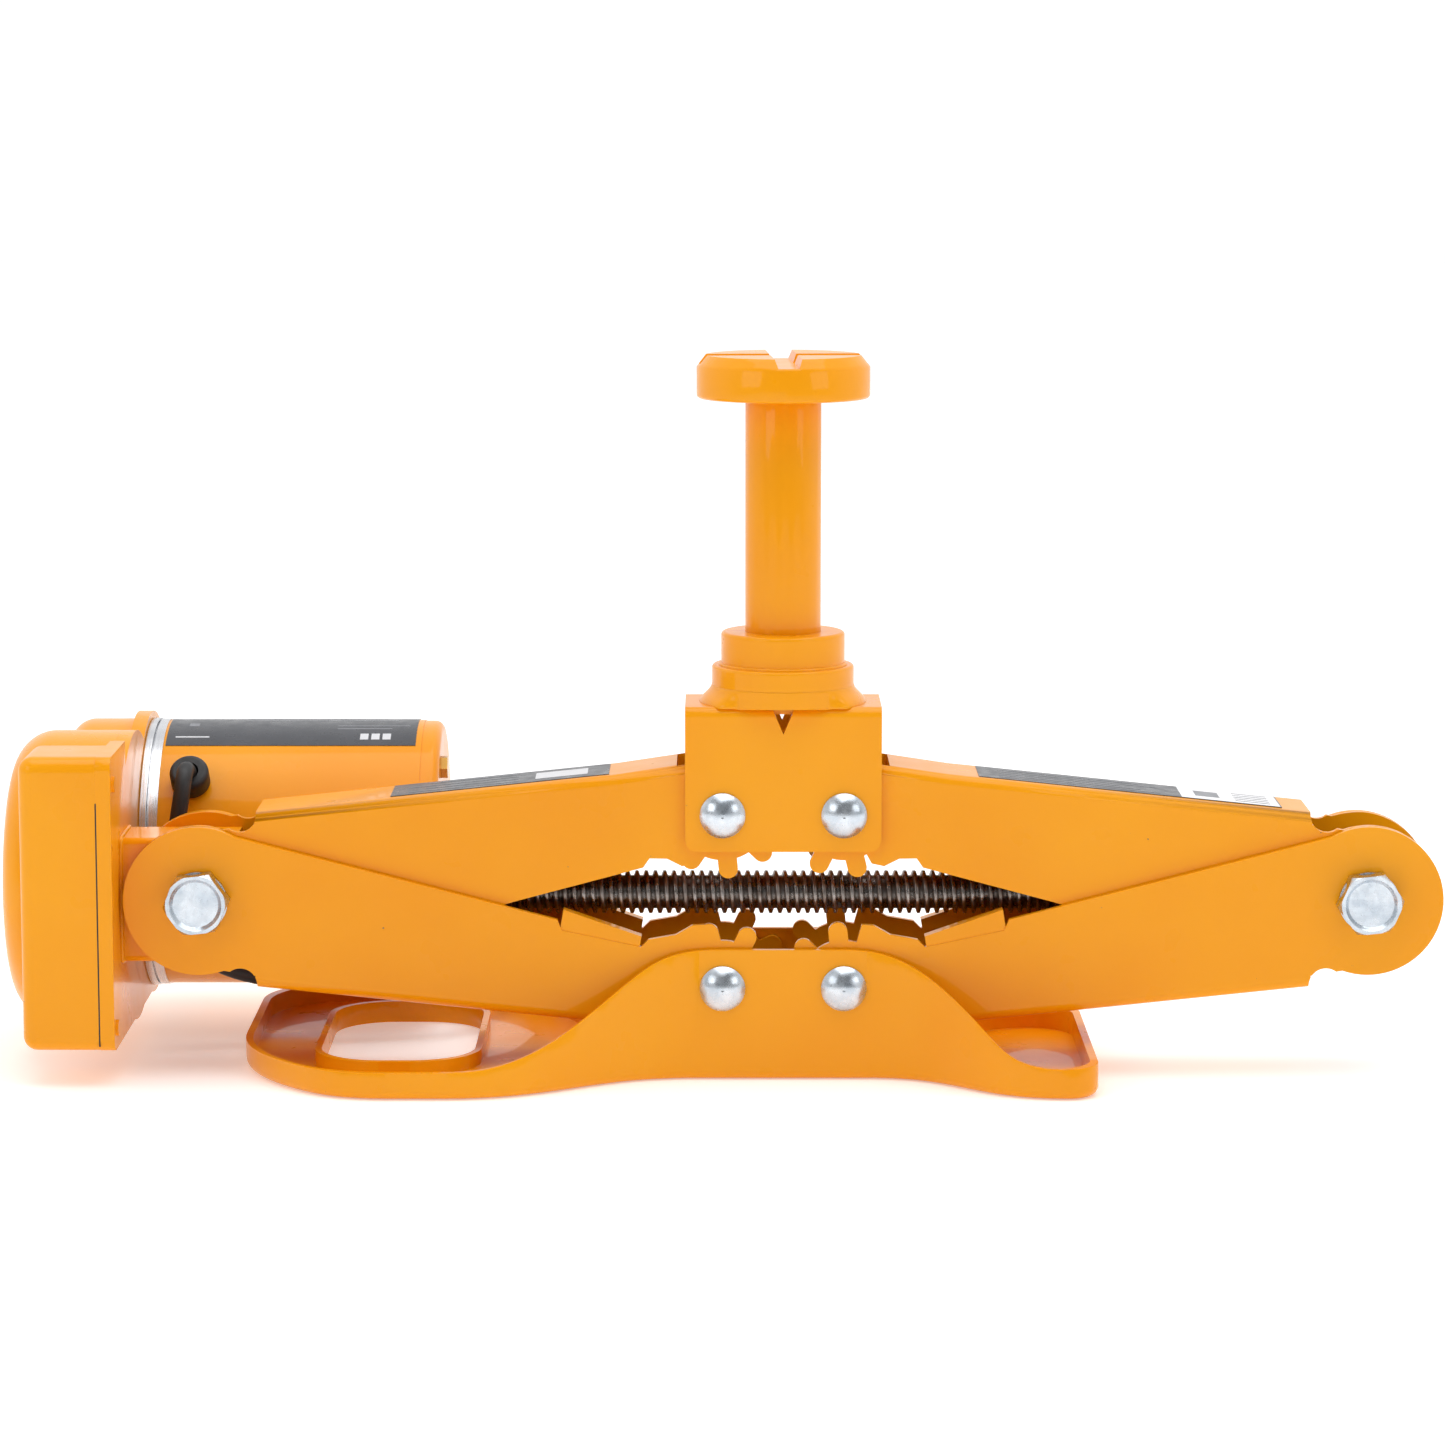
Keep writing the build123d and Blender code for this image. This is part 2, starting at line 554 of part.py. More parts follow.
def make_gears():
    """Screw gear, compound idler with its axle, and the motor's pinion."""
    with BuildPart() as screw_gear:
        cut_gear(STAGE_2_MODULE, SCREW_GEAR_TEETH, STAGE_2_LEFT, STAGE_2_RIGHT, 0, 0)
        cylinder_along_x(JOURNAL_R, STAGE_2_LEFT - 1, STAGE_2_RIGHT + 1, 0, SHAFT_Z, Mode.SUBTRACT)
    save(screw_gear, "screw_gear")
    half_tooth = math.pi / IDLER_TEETH
    with BuildPart() as idler:
        cut_gear(STAGE_1_MODULE, WHEEL_TEETH, STAGE_1_LEFT, STAGE_1_RIGHT, DRUM_Y, 0)
        cut_gear(STAGE_2_MODULE, IDLER_TEETH, STAGE_1_RIGHT, STAGE_2_RIGHT, DRUM_Y, math.pi + half_tooth)
        cylinder_along_x(
            IDLER_BORE_R + FIT, STAGE_1_LEFT - 1, STAGE_2_RIGHT + 1, DRUM_Y, SHAFT_Z, Mode.SUBTRACT
        )
    save(idler, "idler_gear")
    with BuildPart() as axle:
        cylinder_along_x(IDLER_BORE_R, -250.5, -216.0, DRUM_Y, SHAFT_Z)
    save(axle, "idler_axle")
    with BuildPart() as bearing:
        cylinder_along_x(10.0, PLATE_LEFT - 3.4, PLATE_LEFT, 0, SHAFT_Z)
        cylinder_along_x(JOURNAL_R + FIT, PLATE_LEFT - 5, PLATE_LEFT + 1, 0, SHAFT_Z, Mode.SUBTRACT)
    save(bearing, "thrust_bearing")


# Gearbox: a flat mounting plate and one cast cover with a box, a drum and a bell
PLATE_CORNER_Y = 6.0
SIDE = Plane(origin=(0, 0, 0), x_dir=(0, 1, 0), z_dir=(1, 0, 0))
SHAFT_BORE_R = 4.0
PINION_BORE_R = 2.5
COVER_SCREWS = ((-27.0, 18.5), (-27.0, 97.5))
COVER_SCREW_R, COVER_SCREW_HEAD_R, COVER_SCREW_HEAD_H = 1.5, 2.6, 0.9


def upright_rectangle(low_y, high_y, low_z, high_z):
    """Rectangle on a plane across X."""
    with Locations(((low_y + high_y) / 2, (low_z + high_z) / 2)):
        Rectangle(high_y - low_y, high_z - low_z)


def make_gearbox_plate():
    """Plate that carries the trunnion box, the gear train and the motor."""
    with BuildPart() as plate:
        with BuildSketch(SIDE.offset(PLATE_LEFT)):
            upright_rectangle(GEARBOX_NEAR, MOTOR_Y, GEARBOX_LOW, SHAFT_Z)
            upright_rectangle(GEARBOX_NEAR, PLATE_CORNER_Y, SHAFT_Z - 1, GEARBOX_HIGH)
            with Locations((DRUM_Y, SHAFT_Z), (MOTOR_Y, SHAFT_Z)):
                Circle(DRUM_R)
        extrude(amount=PLATE_RIGHT - PLATE_LEFT)
        near_edges = plate.edges().filter_by(Axis.X).filter_by(
            lambda e: e.center().Y < GEARBOX_NEAR + 1
        )
        fillet(near_edges, 4.0)
        cylinder_along_x(JOURNAL_R + FIT, PLATE_LEFT - 1, PLATE_RIGHT + 1, 0, SHAFT_Z, Mode.SUBTRACT)
        cylinder_along_x(SHAFT_BORE_R + 1, PLATE_LEFT - 1, PLATE_RIGHT + 1, MOTOR_Y, SHAFT_Z, Mode.SUBTRACT)
        cylinder_along_x(IDLER_BORE_R, PLATE_LEFT - 1, -216.0, DRUM_Y, SHAFT_Z, Mode.SUBTRACT)
        for y, z in COVER_SCREWS:
            cylinder_along_x(COVER_SCREW_R, PLATE_LEFT - 1, PLATE_RIGHT + 1, y, z, Mode.SUBTRACT)
    save(plate, "gearbox_plate")


def cover_body(inset, mode):
    """Box, drum and bell of the cover, all drawn in by the given amount."""
    right = PLATE_LEFT
    with BuildPart() as near_box:
        block(
            (COVER_LEFT + inset, GEARBOX_NEAR + inset, GEARBOX_LOW + inset),
            (right, COVER_NEAR_BACK + 20, GEARBOX_HIGH - inset),
        )
        box_edges = near_box.edges().filter_by(lambda e: e.center().X < right - 1)
        fillet(box_edges.filter_by(lambda e: e.center().Y < COVER_NEAR_BACK), 4.6 - inset)
        block(
            (COVER_LEFT - 5, COVER_NEAR_BACK - inset, -10), (right + 5, 40, 200), Mode.SUBTRACT
        )
    with BuildPart() as drum:
        cylinder_along_x(DRUM_R - inset, DRUM_LEFT + inset, right, DRUM_Y, SHAFT_Z)
        fillet(drum.edges().filter_by(GeomType.CIRCLE).sort_by(Axis.X)[0], 13.0 - inset)
    with BuildPart() as bell:
        cylinder_along_x(BELL_R - inset, BELL_LEFT + inset, right, MOTOR_Y, SHAFT_Z)
        fillet(bell.edges().filter_by(GeomType.CIRCLE).sort_by(Axis.X)[0], 8.0 - inset)
    add(near_box.part, mode=mode)
    add(drum.part, mode=mode)
    add(bell.part, mode=mode)


def make_gearbox_cover():
    """Hollow cover over the gear train, screwed to the plate."""
    with BuildPart() as cover:
        cover_body(0, Mode.ADD)
        cover_body(COVER_WALL, Mode.SUBTRACT)
        gap_low, gap_high = SHAFT_Z - 30, SHAFT_Z + 24
        passage_low = (COVER_LEFT + COVER_WALL, COVER_NEAR_BACK - 4, gap_low)
        passage_high = (PLATE_LEFT, COVER_NEAR_BACK + 6, gap_high)
        block(passage_low, passage_high, Mode.SUBTRACT)
        cylinder_along_x(IDLER_BORE_R + 3, -250.5, -243.0, DRUM_Y, SHAFT_Z)
        cylinder_along_x(IDLER_BORE_R, -250.5, -242.0, DRUM_Y, SHAFT_Z, Mode.SUBTRACT)
    save(cover, "gearbox_cover")
    with BuildPart() as screws:
        for y, z in COVER_SCREWS:
            cylinder_along_x(COVER_SCREW_R, PLATE_LEFT + 0.5, PLATE_RIGHT, y, z)
            cylinder_along_x(COVER_SCREW_HEAD_R, PLATE_RIGHT, PLATE_RIGHT + COVER_SCREW_HEAD_H, y, z)
    save(screws, "cover_screws")


# Motor
CAN_WALL = 2.2
GROMMET_X, GROMMET_ANGLE = -196.8, 40.0
CORD_R = 2.8


def grommet_plane():
    """Plane on the motor's skin at the cable outlet, facing out."""
    angle = math.radians(GROMMET_ANGLE)
    out = (0, -math.cos(angle), math.sin(angle))
    origin = (GROMMET_X, MOTOR_Y + MOTOR_R * out[1], SHAFT_Z + MOTOR_R * out[2])
    return Plane(origin=origin, x_dir=(1, 0, 0), z_dir=out)


def tube_along_x(label, outer, inner, left, right, round_r=0.0, y=MOTOR_Y):
    """Plain ring or tube about a shaft along X."""
    with BuildPart() as tube:
        cylinder_along_x(outer, left, right, y, SHAFT_Z)
        if round_r:
            fillet(tube.edges().filter_by(GeomType.CIRCLE), round_r)
        cylinder_along_x(inner, left - 1, right + 1, y, SHAFT_Z, Mode.SUBTRACT)
    save(tube, label)


def make_motor_case():
    """Two flange rings, the painted can, its end cap and the nuts of the tie bolts."""
    tube_along_x("motor_flange", 45.6, SHAFT_BORE_R + 1, PLATE_RIGHT, -211.0, 0.4)
    with BuildPart() as front:
        cylinder_along_x(44.0, -211.0, -210.4, MOTOR_Y, SHAFT_Z)
        cylinder_along_x(45.3, -210.4, CAN_LEFT, MOTOR_Y, SHAFT_Z)
        cylinder_along_x(9.0, -212.0, CAN_LEFT + 1, MOTOR_Y, SHAFT_Z, Mode.SUBTRACT)
    save(front, "motor_front_plate")
    tube_along_x("front_bearing", 9.0, SHAFT_BORE_R + FIT, -211.0, CAN_LEFT, 0.0)
    with BuildPart() as can:
        cylinder_along_x(MOTOR_R, CAN_LEFT, CAN_SEAM, MOTOR_Y, SHAFT_Z)
        cylinder_along_x(MOTOR_R - CAN_WALL, CAN_LEFT - 1, CAN_SEAM + 1, MOTOR_Y, SHAFT_Z, Mode.SUBTRACT)
        with BuildSketch(grommet_plane().offset(-6)):
            Circle(4.6)
        extrude(amount=12, mode=Mode.SUBTRACT)
    save(can, "motor_can")
    with BuildPart() as cap:
        cylinder_along_x(MOTOR_R - 0.3, CAN_SEAM, MOTOR_END, MOTOR_Y, SHAFT_Z)
        fillet(cap.edges().filter_by(GeomType.CIRCLE).sort_by(Axis.X)[-1], 3.0)
        cylinder_along_x(MOTOR_R - CAN_WALL, CAN_SEAM - 1, MOTOR_END - 2.4, MOTOR_Y, SHAFT_Z, Mode.SUBTRACT)
        cylinder_along_x(9.0, CAN_SEAM + 0.5, MOTOR_END - 2.4, MOTOR_Y, SHAFT_Z)
        cylinder_along_x(SHAFT_BORE_R + FIT, CAN_SEAM, MOTOR_END - 2.0, MOTOR_Y, SHAFT_Z, Mode.SUBTRACT)
    save(cap, "motor_end_cap")
    with BuildPart() as nuts:
        for y, z in ((MOTOR_Y - 16, SHAFT_Z + 31.5), (MOTOR_Y + 16, SHAFT_Z - 31.5)):
            with BuildSketch(SIDE.offset(MOTOR_END)):
                with Locations((y, z)):
                    RegularPolygon(4.0, 6)
            extrude(amount=2.4)
    save(nuts, "tie_bolt_nuts")


def make_motor_inside():
    """Magnets, brush holder and the turning armature with its shaft and pinion."""
    magnet_out, magnet_in = MOTOR_R - CAN_WALL, MOTOR_R - CAN_WALL - 6.0
    with BuildPart() as magnets:
        cylinder_along_x(magnet_out, -190, -142, MOTOR_Y, SHAFT_Z)
        cylinder_along_x(magnet_in, -191, -141, MOTOR_Y, SHAFT_Z, Mode.SUBTRACT)
        block((-191, MOTOR_Y - 20, 0), (-141, MOTOR_Y + 20, 120), Mode.SUBTRACT)
    save(magnets, "motor_magnets")
    with BuildPart() as holder:
        cylinder_along_x(magnet_out, -127.0, -124.5, MOTOR_Y, SHAFT_Z)
        cylinder_along_x(13.0, -128, -124, MOTOR_Y, SHAFT_Z, Mode.SUBTRACT)
        for low in (SHAFT_Z - 26, SHAFT_Z + 14):
            block((-137, MOTOR_Y - 5, low), (-126.5, MOTOR_Y + 5, low + 12))
    save(holder, "brush_holder")
    with BuildPart() as shaft:
        cylinder_along_x(PINION_BORE_R, STAGE_1_LEFT - 0.5, STAGE_1_RIGHT, MOTOR_Y, SHAFT_Z)
        cylinder_along_x(SHAFT_BORE_R, STAGE_1_RIGHT, CAN_SEAM + 4, MOTOR_Y, SHAFT_Z)
    save(shaft, "motor_shaft")
    with BuildPart() as core:
        cylinder_along_x(35.5, -188, -144, MOTOR_Y, SHAFT_Z)
        for turn in range(12):
            angle = math.radians(turn * 30)
            slot_y, slot_z = MOTOR_Y + 33 * math.cos(angle), SHAFT_Z + 33 * math.sin(angle)
            cylinder_along_x(3.6, -189, -143, slot_y, slot_z, Mode.SUBTRACT)
        cylinder_along_x(25.0, -198, -139, MOTOR_Y, SHAFT_Z)
        cylinder_along_x(SHAFT_BORE_R, -200, -138, MOTOR_Y, SHAFT_Z, Mode.SUBTRACT)
    save(core, "armature_core")
    tube_along_x("commutator", 12.0, SHAFT_BORE_R, -138.5, -123.5)
    with BuildPart() as pinion:
        mesh_phase = math.pi / PINION_TEETH
        cut_gear(STAGE_1_MODULE, PINION_TEETH, STAGE_1_LEFT, STAGE_1_RIGHT, MOTOR_Y, math.pi + mesh_phase)
        cylinder_along_x(PINION_BORE_R, STAGE_1_LEFT - 1, STAGE_1_RIGHT + 1, MOTOR_Y, SHAFT_Z, Mode.SUBTRACT)
    save(pinion, "motor_pinion")


# Labels
LABEL_T = 0.2


def make_labels():
    """Thin stickers: one round the motor, one on each upper arm's web."""
    with BuildPart() as label:
        cylinder_along_x(MOTOR_R + LABEL_T, -206.7, -122.7, MOTOR_Y, SHAFT_Z)
        cylinder_along_x(MOTOR_R, -208, -121, MOTOR_Y, SHAFT_Z, Mode.SUBTRACT)
        lower_edge = SHAFT_Z + MOTOR_R * math.sin(math.radians(62))
        block((-208, 0, -50), (-121, 160, lower_edge), Mode.SUBTRACT)
    save(label, "motor_label")
    slope = (WEB_END_V - WEB_MID_V) / (WEB_END_U - WEB_MID_U)
    for side, name, start, end in ((-1, "left", 34.0, 104.6), (1, "right", 41.0, 139.0)):
        low_v = WEB_MID_V + (start - WEB_MID_U) * slope
        high_v = WEB_MID_V + (end - WEB_MID_U) * slope
        with BuildPart() as sticker:
            with BuildSketch(arm_plane(side, 1)):
                with BuildLine():
                    Polyline(
                        (start, low_v), (end, high_v), (end, high_v + LABEL_T), (start, low_v + LABEL_T),
                        close=True,
                    )
                make_face()
            extrude(amount=11.0, both=True)
        save(sticker, f"arm_label_{name}")


# Supply cord: rubber outlet, lead, put-away coil, tail and a 12 V accessory plug
OUTLET_DEPTH, GROMMET_R, GROMMET_H = 2.0, 6.5, 8.0
COIL_X, COIL_Y = 5.0, 72.0
COIL_MID_R, COIL_RINGS, COIL_LAYERS = 32.0, 3, 4
CORD_LEAD = (
    (-197.0, 35.3, 93.8),
    (-197.4, 28.9, 91.5),
    (-198.2, 26.2, 84.0),
    (-200.5, 25.6, 70.0),
    (-202.8, 25.6, 52.0),
    (-198.5, 26.8, 36.0),
    (-184.0, 29.3, 26.0),
    (-164.0, 33.0, 21.5),
    (-141.0, 37.0, 19.0),
    (-118.0, 42.0, 17.0),
    (-101.0, 54.0, 17.0),
    (-94.0, 71.0, 19.0),
    (-89.0, 87.0, 20.5),
    (-80.0, 101.0, 15.0),
    (-64.0, 109.0, 7.0),
    (-42.0, 111.5, 3.3),
    (-18.0, 110.4, 2.9),
    (5.0, 109.6, 2.9),
)
CORD_TAIL = ((5.0, 109.6, 19.5), (24.0, 111.0, 18.0), (43.0, 112.5, 13.0), (62.0, 113.0, 10.6))


def cord_tube(label, points):
    """Round cord along straight runs joined by arcs as large as the runs allow."""
    radii = []
    places = [Vector(*point) for point in points]
    for before, corner, after in zip(places, places[1:], places[2:]):
        turn = math.radians((corner - before).get_angle(after - corner))
        shorter = min((corner - before).length, (after - corner).length)
        radii.append(0.45 * shorter / math.tan(turn / 2))
    with BuildPart() as tube:
        with BuildLine() as route:
            FilletPolyline(*points, radius=radii)
        path = route.wires()[0]
        with BuildSketch(Plane(origin=path @ 0, z_dir=path % 0)):
            Circle(CORD_R)
        sweep(path=path)
    save(tube, label)


def make_cord():
    """The cord's pieces, from the motor's skin to the plug."""
    outlet = grommet_plane()
    with BuildPart() as grommet:
        with BuildSketch(outlet.offset(-3.5)):
            Circle(4.6)
        extrude(amount=4.4)
        with BuildSketch(outlet.offset(0.9)):
            Circle(GROMMET_R)
        extrude(amount=GROMMET_H - 0.9)
        fillet(grommet.edges().filter_by(GeomType.CIRCLE).sort_by(Axis.Z)[-1], 1.6)
        with BuildSketch(outlet.offset(OUTLET_DEPTH)):
            Circle(CORD_R + 0.4)
        extrude(amount=GROMMET_H, mode=Mode.SUBTRACT)
    save(grommet, "cable_grommet")
    exit_point = outlet.from_local_coords((0, 0, OUTLET_DEPTH))
    cord_tube("cord_lead", ((exit_point.X, exit_point.Y, exit_point.Z), *CORD_LEAD))
    half_width = COIL_RINGS * CORD_R
    with BuildPart() as coil:
        cylinder_along_z(COIL_MID_R + half_width, 0.0, 2 * CORD_R * COIL_LAYERS, COIL_X, COIL_Y)
        cylinder_along_z(
            COIL_MID_R - half_width, -1.0, 2 * CORD_R * COIL_LAYERS + 1, COIL_X, COIL_Y, Mode.SUBTRACT
        )
    save(coil, "cord_coil")
    cord_tube("cord_tail", CORD_TAIL)
    plug_x, plug_y, plug_z = CORD_TAIL[-1]
    with BuildPart() as plug:
        cylinder_along_x(4.2, plug_x, plug_x + 9, plug_y, plug_z)
        cylinder_along_x(10.4, plug_x + 8, plug_x + 38, plug_y, plug_z)
        cylinder_along_x(8.6, plug_x + 38, plug_x + 60, plug_y, plug_z)
        cylinder_along_x(3.0, plug_x + 60, plug_x + 66, plug_y, plug_z)
        rims = plug.edges().filter_by(GeomType.CIRCLE).filter_by(lambda e: abs(e.radius - 10.4) < 0.1)
        fillet(rims, 1.2)
    save(plug, "accessory_plug")


os.makedirs("parts", exist_ok=True)
make_arms()
make_base()
make_rivets()
make_saddle()
make_trunnions()
make_screw()
make_gears()
make_gearbox_plate()
make_gearbox_cover()
make_motor_case()
make_motor_inside()
make_labels()
make_cord()
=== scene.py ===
import json
import math

import bmesh
import bpy
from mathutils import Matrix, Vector


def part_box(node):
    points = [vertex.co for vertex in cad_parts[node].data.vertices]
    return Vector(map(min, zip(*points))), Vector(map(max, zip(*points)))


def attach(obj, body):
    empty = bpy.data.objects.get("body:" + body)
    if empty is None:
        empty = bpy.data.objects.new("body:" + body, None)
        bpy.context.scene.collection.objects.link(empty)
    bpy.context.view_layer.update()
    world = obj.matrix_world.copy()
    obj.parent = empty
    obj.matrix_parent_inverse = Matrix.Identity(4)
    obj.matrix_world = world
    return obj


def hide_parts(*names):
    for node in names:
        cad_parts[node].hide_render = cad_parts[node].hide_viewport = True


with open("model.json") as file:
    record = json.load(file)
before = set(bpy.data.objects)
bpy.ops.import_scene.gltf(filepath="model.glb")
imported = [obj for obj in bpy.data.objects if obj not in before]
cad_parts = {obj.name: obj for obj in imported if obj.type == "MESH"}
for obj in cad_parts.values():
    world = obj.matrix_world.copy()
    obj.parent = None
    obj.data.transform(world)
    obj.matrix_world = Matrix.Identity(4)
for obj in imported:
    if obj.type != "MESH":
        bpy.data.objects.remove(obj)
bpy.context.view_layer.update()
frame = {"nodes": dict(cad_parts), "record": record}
nodes = frame["nodes"]
MM = 0.001

# Camera
CAMERA_AT = (-0.0195, -1.4858, 0.3266)
CAMERA_DOWN_DEG = 8.163
CAMERA_CLIP = 50
LENS_MM, SENSOR_MM = 115.6, 36.0


def make_camera():
    """Camera in front of the jack, a little to the left of the post and looking slightly down."""
    data = bpy.data.cameras.new("camera")
    data.lens = LENS_MM
    data.sensor_width = SENSOR_MM
    data.clip_end = CAMERA_CLIP
    camera = bpy.data.objects.new("camera", data)
    bpy.context.scene.collection.objects.link(camera)
    camera.location = CAMERA_AT
    camera.rotation_euler = (math.radians(90 - CAMERA_DOWN_DEG), 0, 0)
    bpy.context.scene.camera = camera


make_camera()

# Cord: its route follows the same points as the CAD tube, in metres. The cord starts at the bottom of the
# rubber outlet, on the outlet's axis; that point is rounded as Blender stores it.
CORD_D = 0.0056
CORD_R = CORD_D / 2
CORD_EXIT = tuple(Vector((-0.1968, 0.0420733, 0.0880450)))
LEAD = (
    (-0.1970, 0.0353, 0.0938),
    (-0.1974, 0.0289, 0.0915),
    (-0.1982, 0.0262, 0.0840),
    (-0.2005, 0.0256, 0.0700),
    (-0.2028, 0.0256, 0.0520),
    (-0.1985, 0.0268, 0.0360),
    (-0.1840, 0.0293, 0.0260),
    (-0.1640, 0.0330, 0.0215),
    (-0.1410, 0.0370, 0.0190),
    (-0.1180, 0.0420, 0.0170),
    (-0.1010, 0.0540, 0.0170),
    (-0.0940, 0.0710, 0.0190),
    (-0.0890, 0.0870, 0.0205),
    (-0.0800, 0.1010, 0.0150),
    (-0.0640, 0.1090, 0.0070),
    (-0.0420, 0.1115, 0.0033),
    (-0.0180, 0.1104, 0.0029),
)
TAIL = ((0.0240, 0.1110, 0.0180), (0.0430, 0.1125, 0.0130), (0.0620, 0.1130, 0.0106))
COIL_RINGS, COIL_LAYERS, TURN_POINTS = 3, 4, 12
COIL_MID_R = 0.032
COIL_SHIFT_POINTS = 2
COIL_FLOOR_GAP = 0.0001
CURVE_ORDER, CURVE_STEPS, CURVE_ROUNDNESS = 3, 6, 5


def coil_points():
    """Turns of the put-away coil, whose layers are wound inwards and outwards in turn.

    The last points of a turn shift to the next turn or climb to the next layer.
    """
    low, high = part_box("cord_coil")
    centre = (low + high) / 2
    outer = COIL_MID_R + (COIL_RINGS - 1) * CORD_R
    points = []
    shift_from = TURN_POINTS - COIL_SHIFT_POINTS
    for layer in range(COIL_LAYERS):
        inward = layer % 2 == 0
        for ring in range(COIL_RINGS):
            place = ring if inward else COIL_RINGS - 1 - ring
            radius = outer - place * CORD_D
            last = ring == COIL_RINGS - 1
            for step in range(TURN_POINTS):
                share = max(0, step - shift_from) / (TURN_POINTS - shift_from)
                side = -1 if inward else 1
                turn_r = radius if last else radius + side * CORD_D * share
                rise = CORD_D * share if last and layer < COIL_LAYERS - 1 else 0
                angle = math.pi / 2 - 2 * math.pi * step / TURN_POINTS
                z = CORD_R + COIL_FLOOR_GAP + layer * CORD_D + rise
                points.append((centre.x + turn_r * math.cos(angle), centre.y + turn_r * math.sin(angle), z))
    top = CORD_R + (COIL_LAYERS - 1) * CORD_D
    points.append((centre.x, centre.y + outer, top))
    return points


def make_cord():
    """One open spline from the outlet through the coil to the plug."""
    data = bpy.data.curves.new("supply_cord", "CURVE")
    data.dimensions = "3D"
    spline = data.splines.new("NURBS")
    points = [CORD_EXIT, *LEAD, *coil_points(), *TAIL]
    spline.points.add(len(points) - 1)
    for point, place in zip(spline.points, points):
        point.co = (*place, 1)
        point.radius = CORD_R
    spline.order_u = CURVE_ORDER
    spline.use_endpoint_u = True
    spline.resolution_u = CURVE_STEPS
    data.bevel_depth = 1.0
    data.bevel_resolution = CURVE_ROUNDNESS
    data.use_fill_caps = True
    cord = bpy.data.objects.new("supply_cord", data)
    bpy.context.scene.collection.objects.link(cord)
    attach(cord, "carriage")
    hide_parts("cord_lead", "cord_coil", "cord_tail")
    return cord


cord = make_cord()


# Materials
SRGB_KNEE, SRGB_SLOPE, SRGB_OFFSET, SRGB_POWER = 0.04045, 12.92, 0.055, 2.4


def srgb(red, green, blue):
    """Linear colour from 0 to 255 screen values."""
    out = []
    for value in (red, green, blue):
        share = value / 255
        if share <= SRGB_KNEE:
            out.append(share / SRGB_SLOPE)
        else:
            out.append(((share + SRGB_OFFSET) / (1 + SRGB_OFFSET)) ** SRGB_POWER)
    return (*out, 1.0)


# Nearly all values of a noise texture lie between these two
NOISE_LOW, NOISE_HIGH = 0.3, 0.7


class Shader:
    """Small helper round one material's node tree."""

    def __init__(self, name):
        """New material with one surface shader, textured in the object's own coordinates."""
        self.material = bpy.data.materials.new(name)
        self.material.use_nodes = True
        self.tree = self.material.node_tree
        self.bsdf = self.tree.nodes["Principled BSDF"]
        self.coords = self.tree.nodes.new("ShaderNodeTexCoord").outputs["Object"]

    def set(self, **values):
        """Set sockets of the shader that are the same all over the surface."""
        for key, value in values.items():
            self.bsdf.inputs[key.replace("_", " ")].default_value = value

    def link(self, source, target):
        """Join an output socket to an input socket."""
        self.tree.links.new(source, target)

    def noise(self, scale, detail=3.0, roughness=0.5, coords=None):
        """Value socket of a noise texture, on the object's own coordinates unless others are given."""
        node = self.tree.nodes.new("ShaderNodeTexNoise")
        node.inputs["Scale"].default_value = scale
        node.inputs["Detail"].default_value = detail
        node.inputs["Roughness"].default_value = roughness
        self.link(coords or self.coords, node.inputs["Vector"])
        return node.outputs["Fac"]

    def stretched(self, scale):
        """Object coordinates scaled by a different amount along each axis."""
        node = self.tree.nodes.new("ShaderNodeMapping")
        node.inputs["Scale"].default_value = scale
        self.link(self.coords, node.inputs["Vector"])
        return node.outputs["Vector"]

    def remap(self, value, from_low, from_high, to_low, to_high):
        """Value mapped from one range to another, and kept inside it."""
        node = self.tree.nodes.new("ShaderNodeMapRange")
        limits = {"From Min": from_low, "From Max": from_high, "To Min": to_low, "To Max": to_high}
        for key, number in limits.items():
            node.inputs[key].default_value = number
        self.link(value, node.inputs["Value"])
        return node.outputs["Result"]

    def share(self, value, low=NOISE_LOW, high=NOISE_HIGH):
        """How far a value lies between two limits, from 0 to 1."""
        return self.remap(value, low, high, 0.0, 1.0)

    def between(self, noise, limits):
        """Noise spread between two limits."""
        return self.remap(noise, NOISE_LOW, NOISE_HIGH, *limits)

    def mix(self, factor, first, second):
        """Colour mix; first and second are colours or sockets."""
        node = self.tree.nodes.new("ShaderNodeMix")
        node.data_type = "RGBA"
        self.link(factor, node.inputs[0])
        for socket, value in ((node.inputs[6], first), (node.inputs[7], second)):
            if isinstance(value, tuple):
                socket.default_value = value
            else:
                self.link(value, socket)
        return node.outputs[2]

    def bump(self, height, strength, distance, below=None):
        """Bump from a height socket; chains onto another bump."""
        node = self.tree.nodes.new("ShaderNodeBump")
        node.inputs["Strength"].default_value = strength
        node.inputs["Distance"].default_value = distance
        self.link(height, node.inputs["Height"])
        if below is not None:
            self.link(below, node.inputs["Normal"])
        return node.outputs["Normal"]

    def finish(self, color=None, roughness=None, normal=None):
        """Link the sockets that vary over the surface, and return the material."""
        for key, socket in (("Base Color", color), ("Roughness", roughness), ("Normal", normal)):
            if socket is not None:
                self.link(socket, self.bsdf.inputs[key])
        return self.material


ORANGE = srgb(240, 159, 9)
ORANGE_DEEP = srgb(236, 150, 5)
BARE_STEEL = srgb(92, 88, 86)


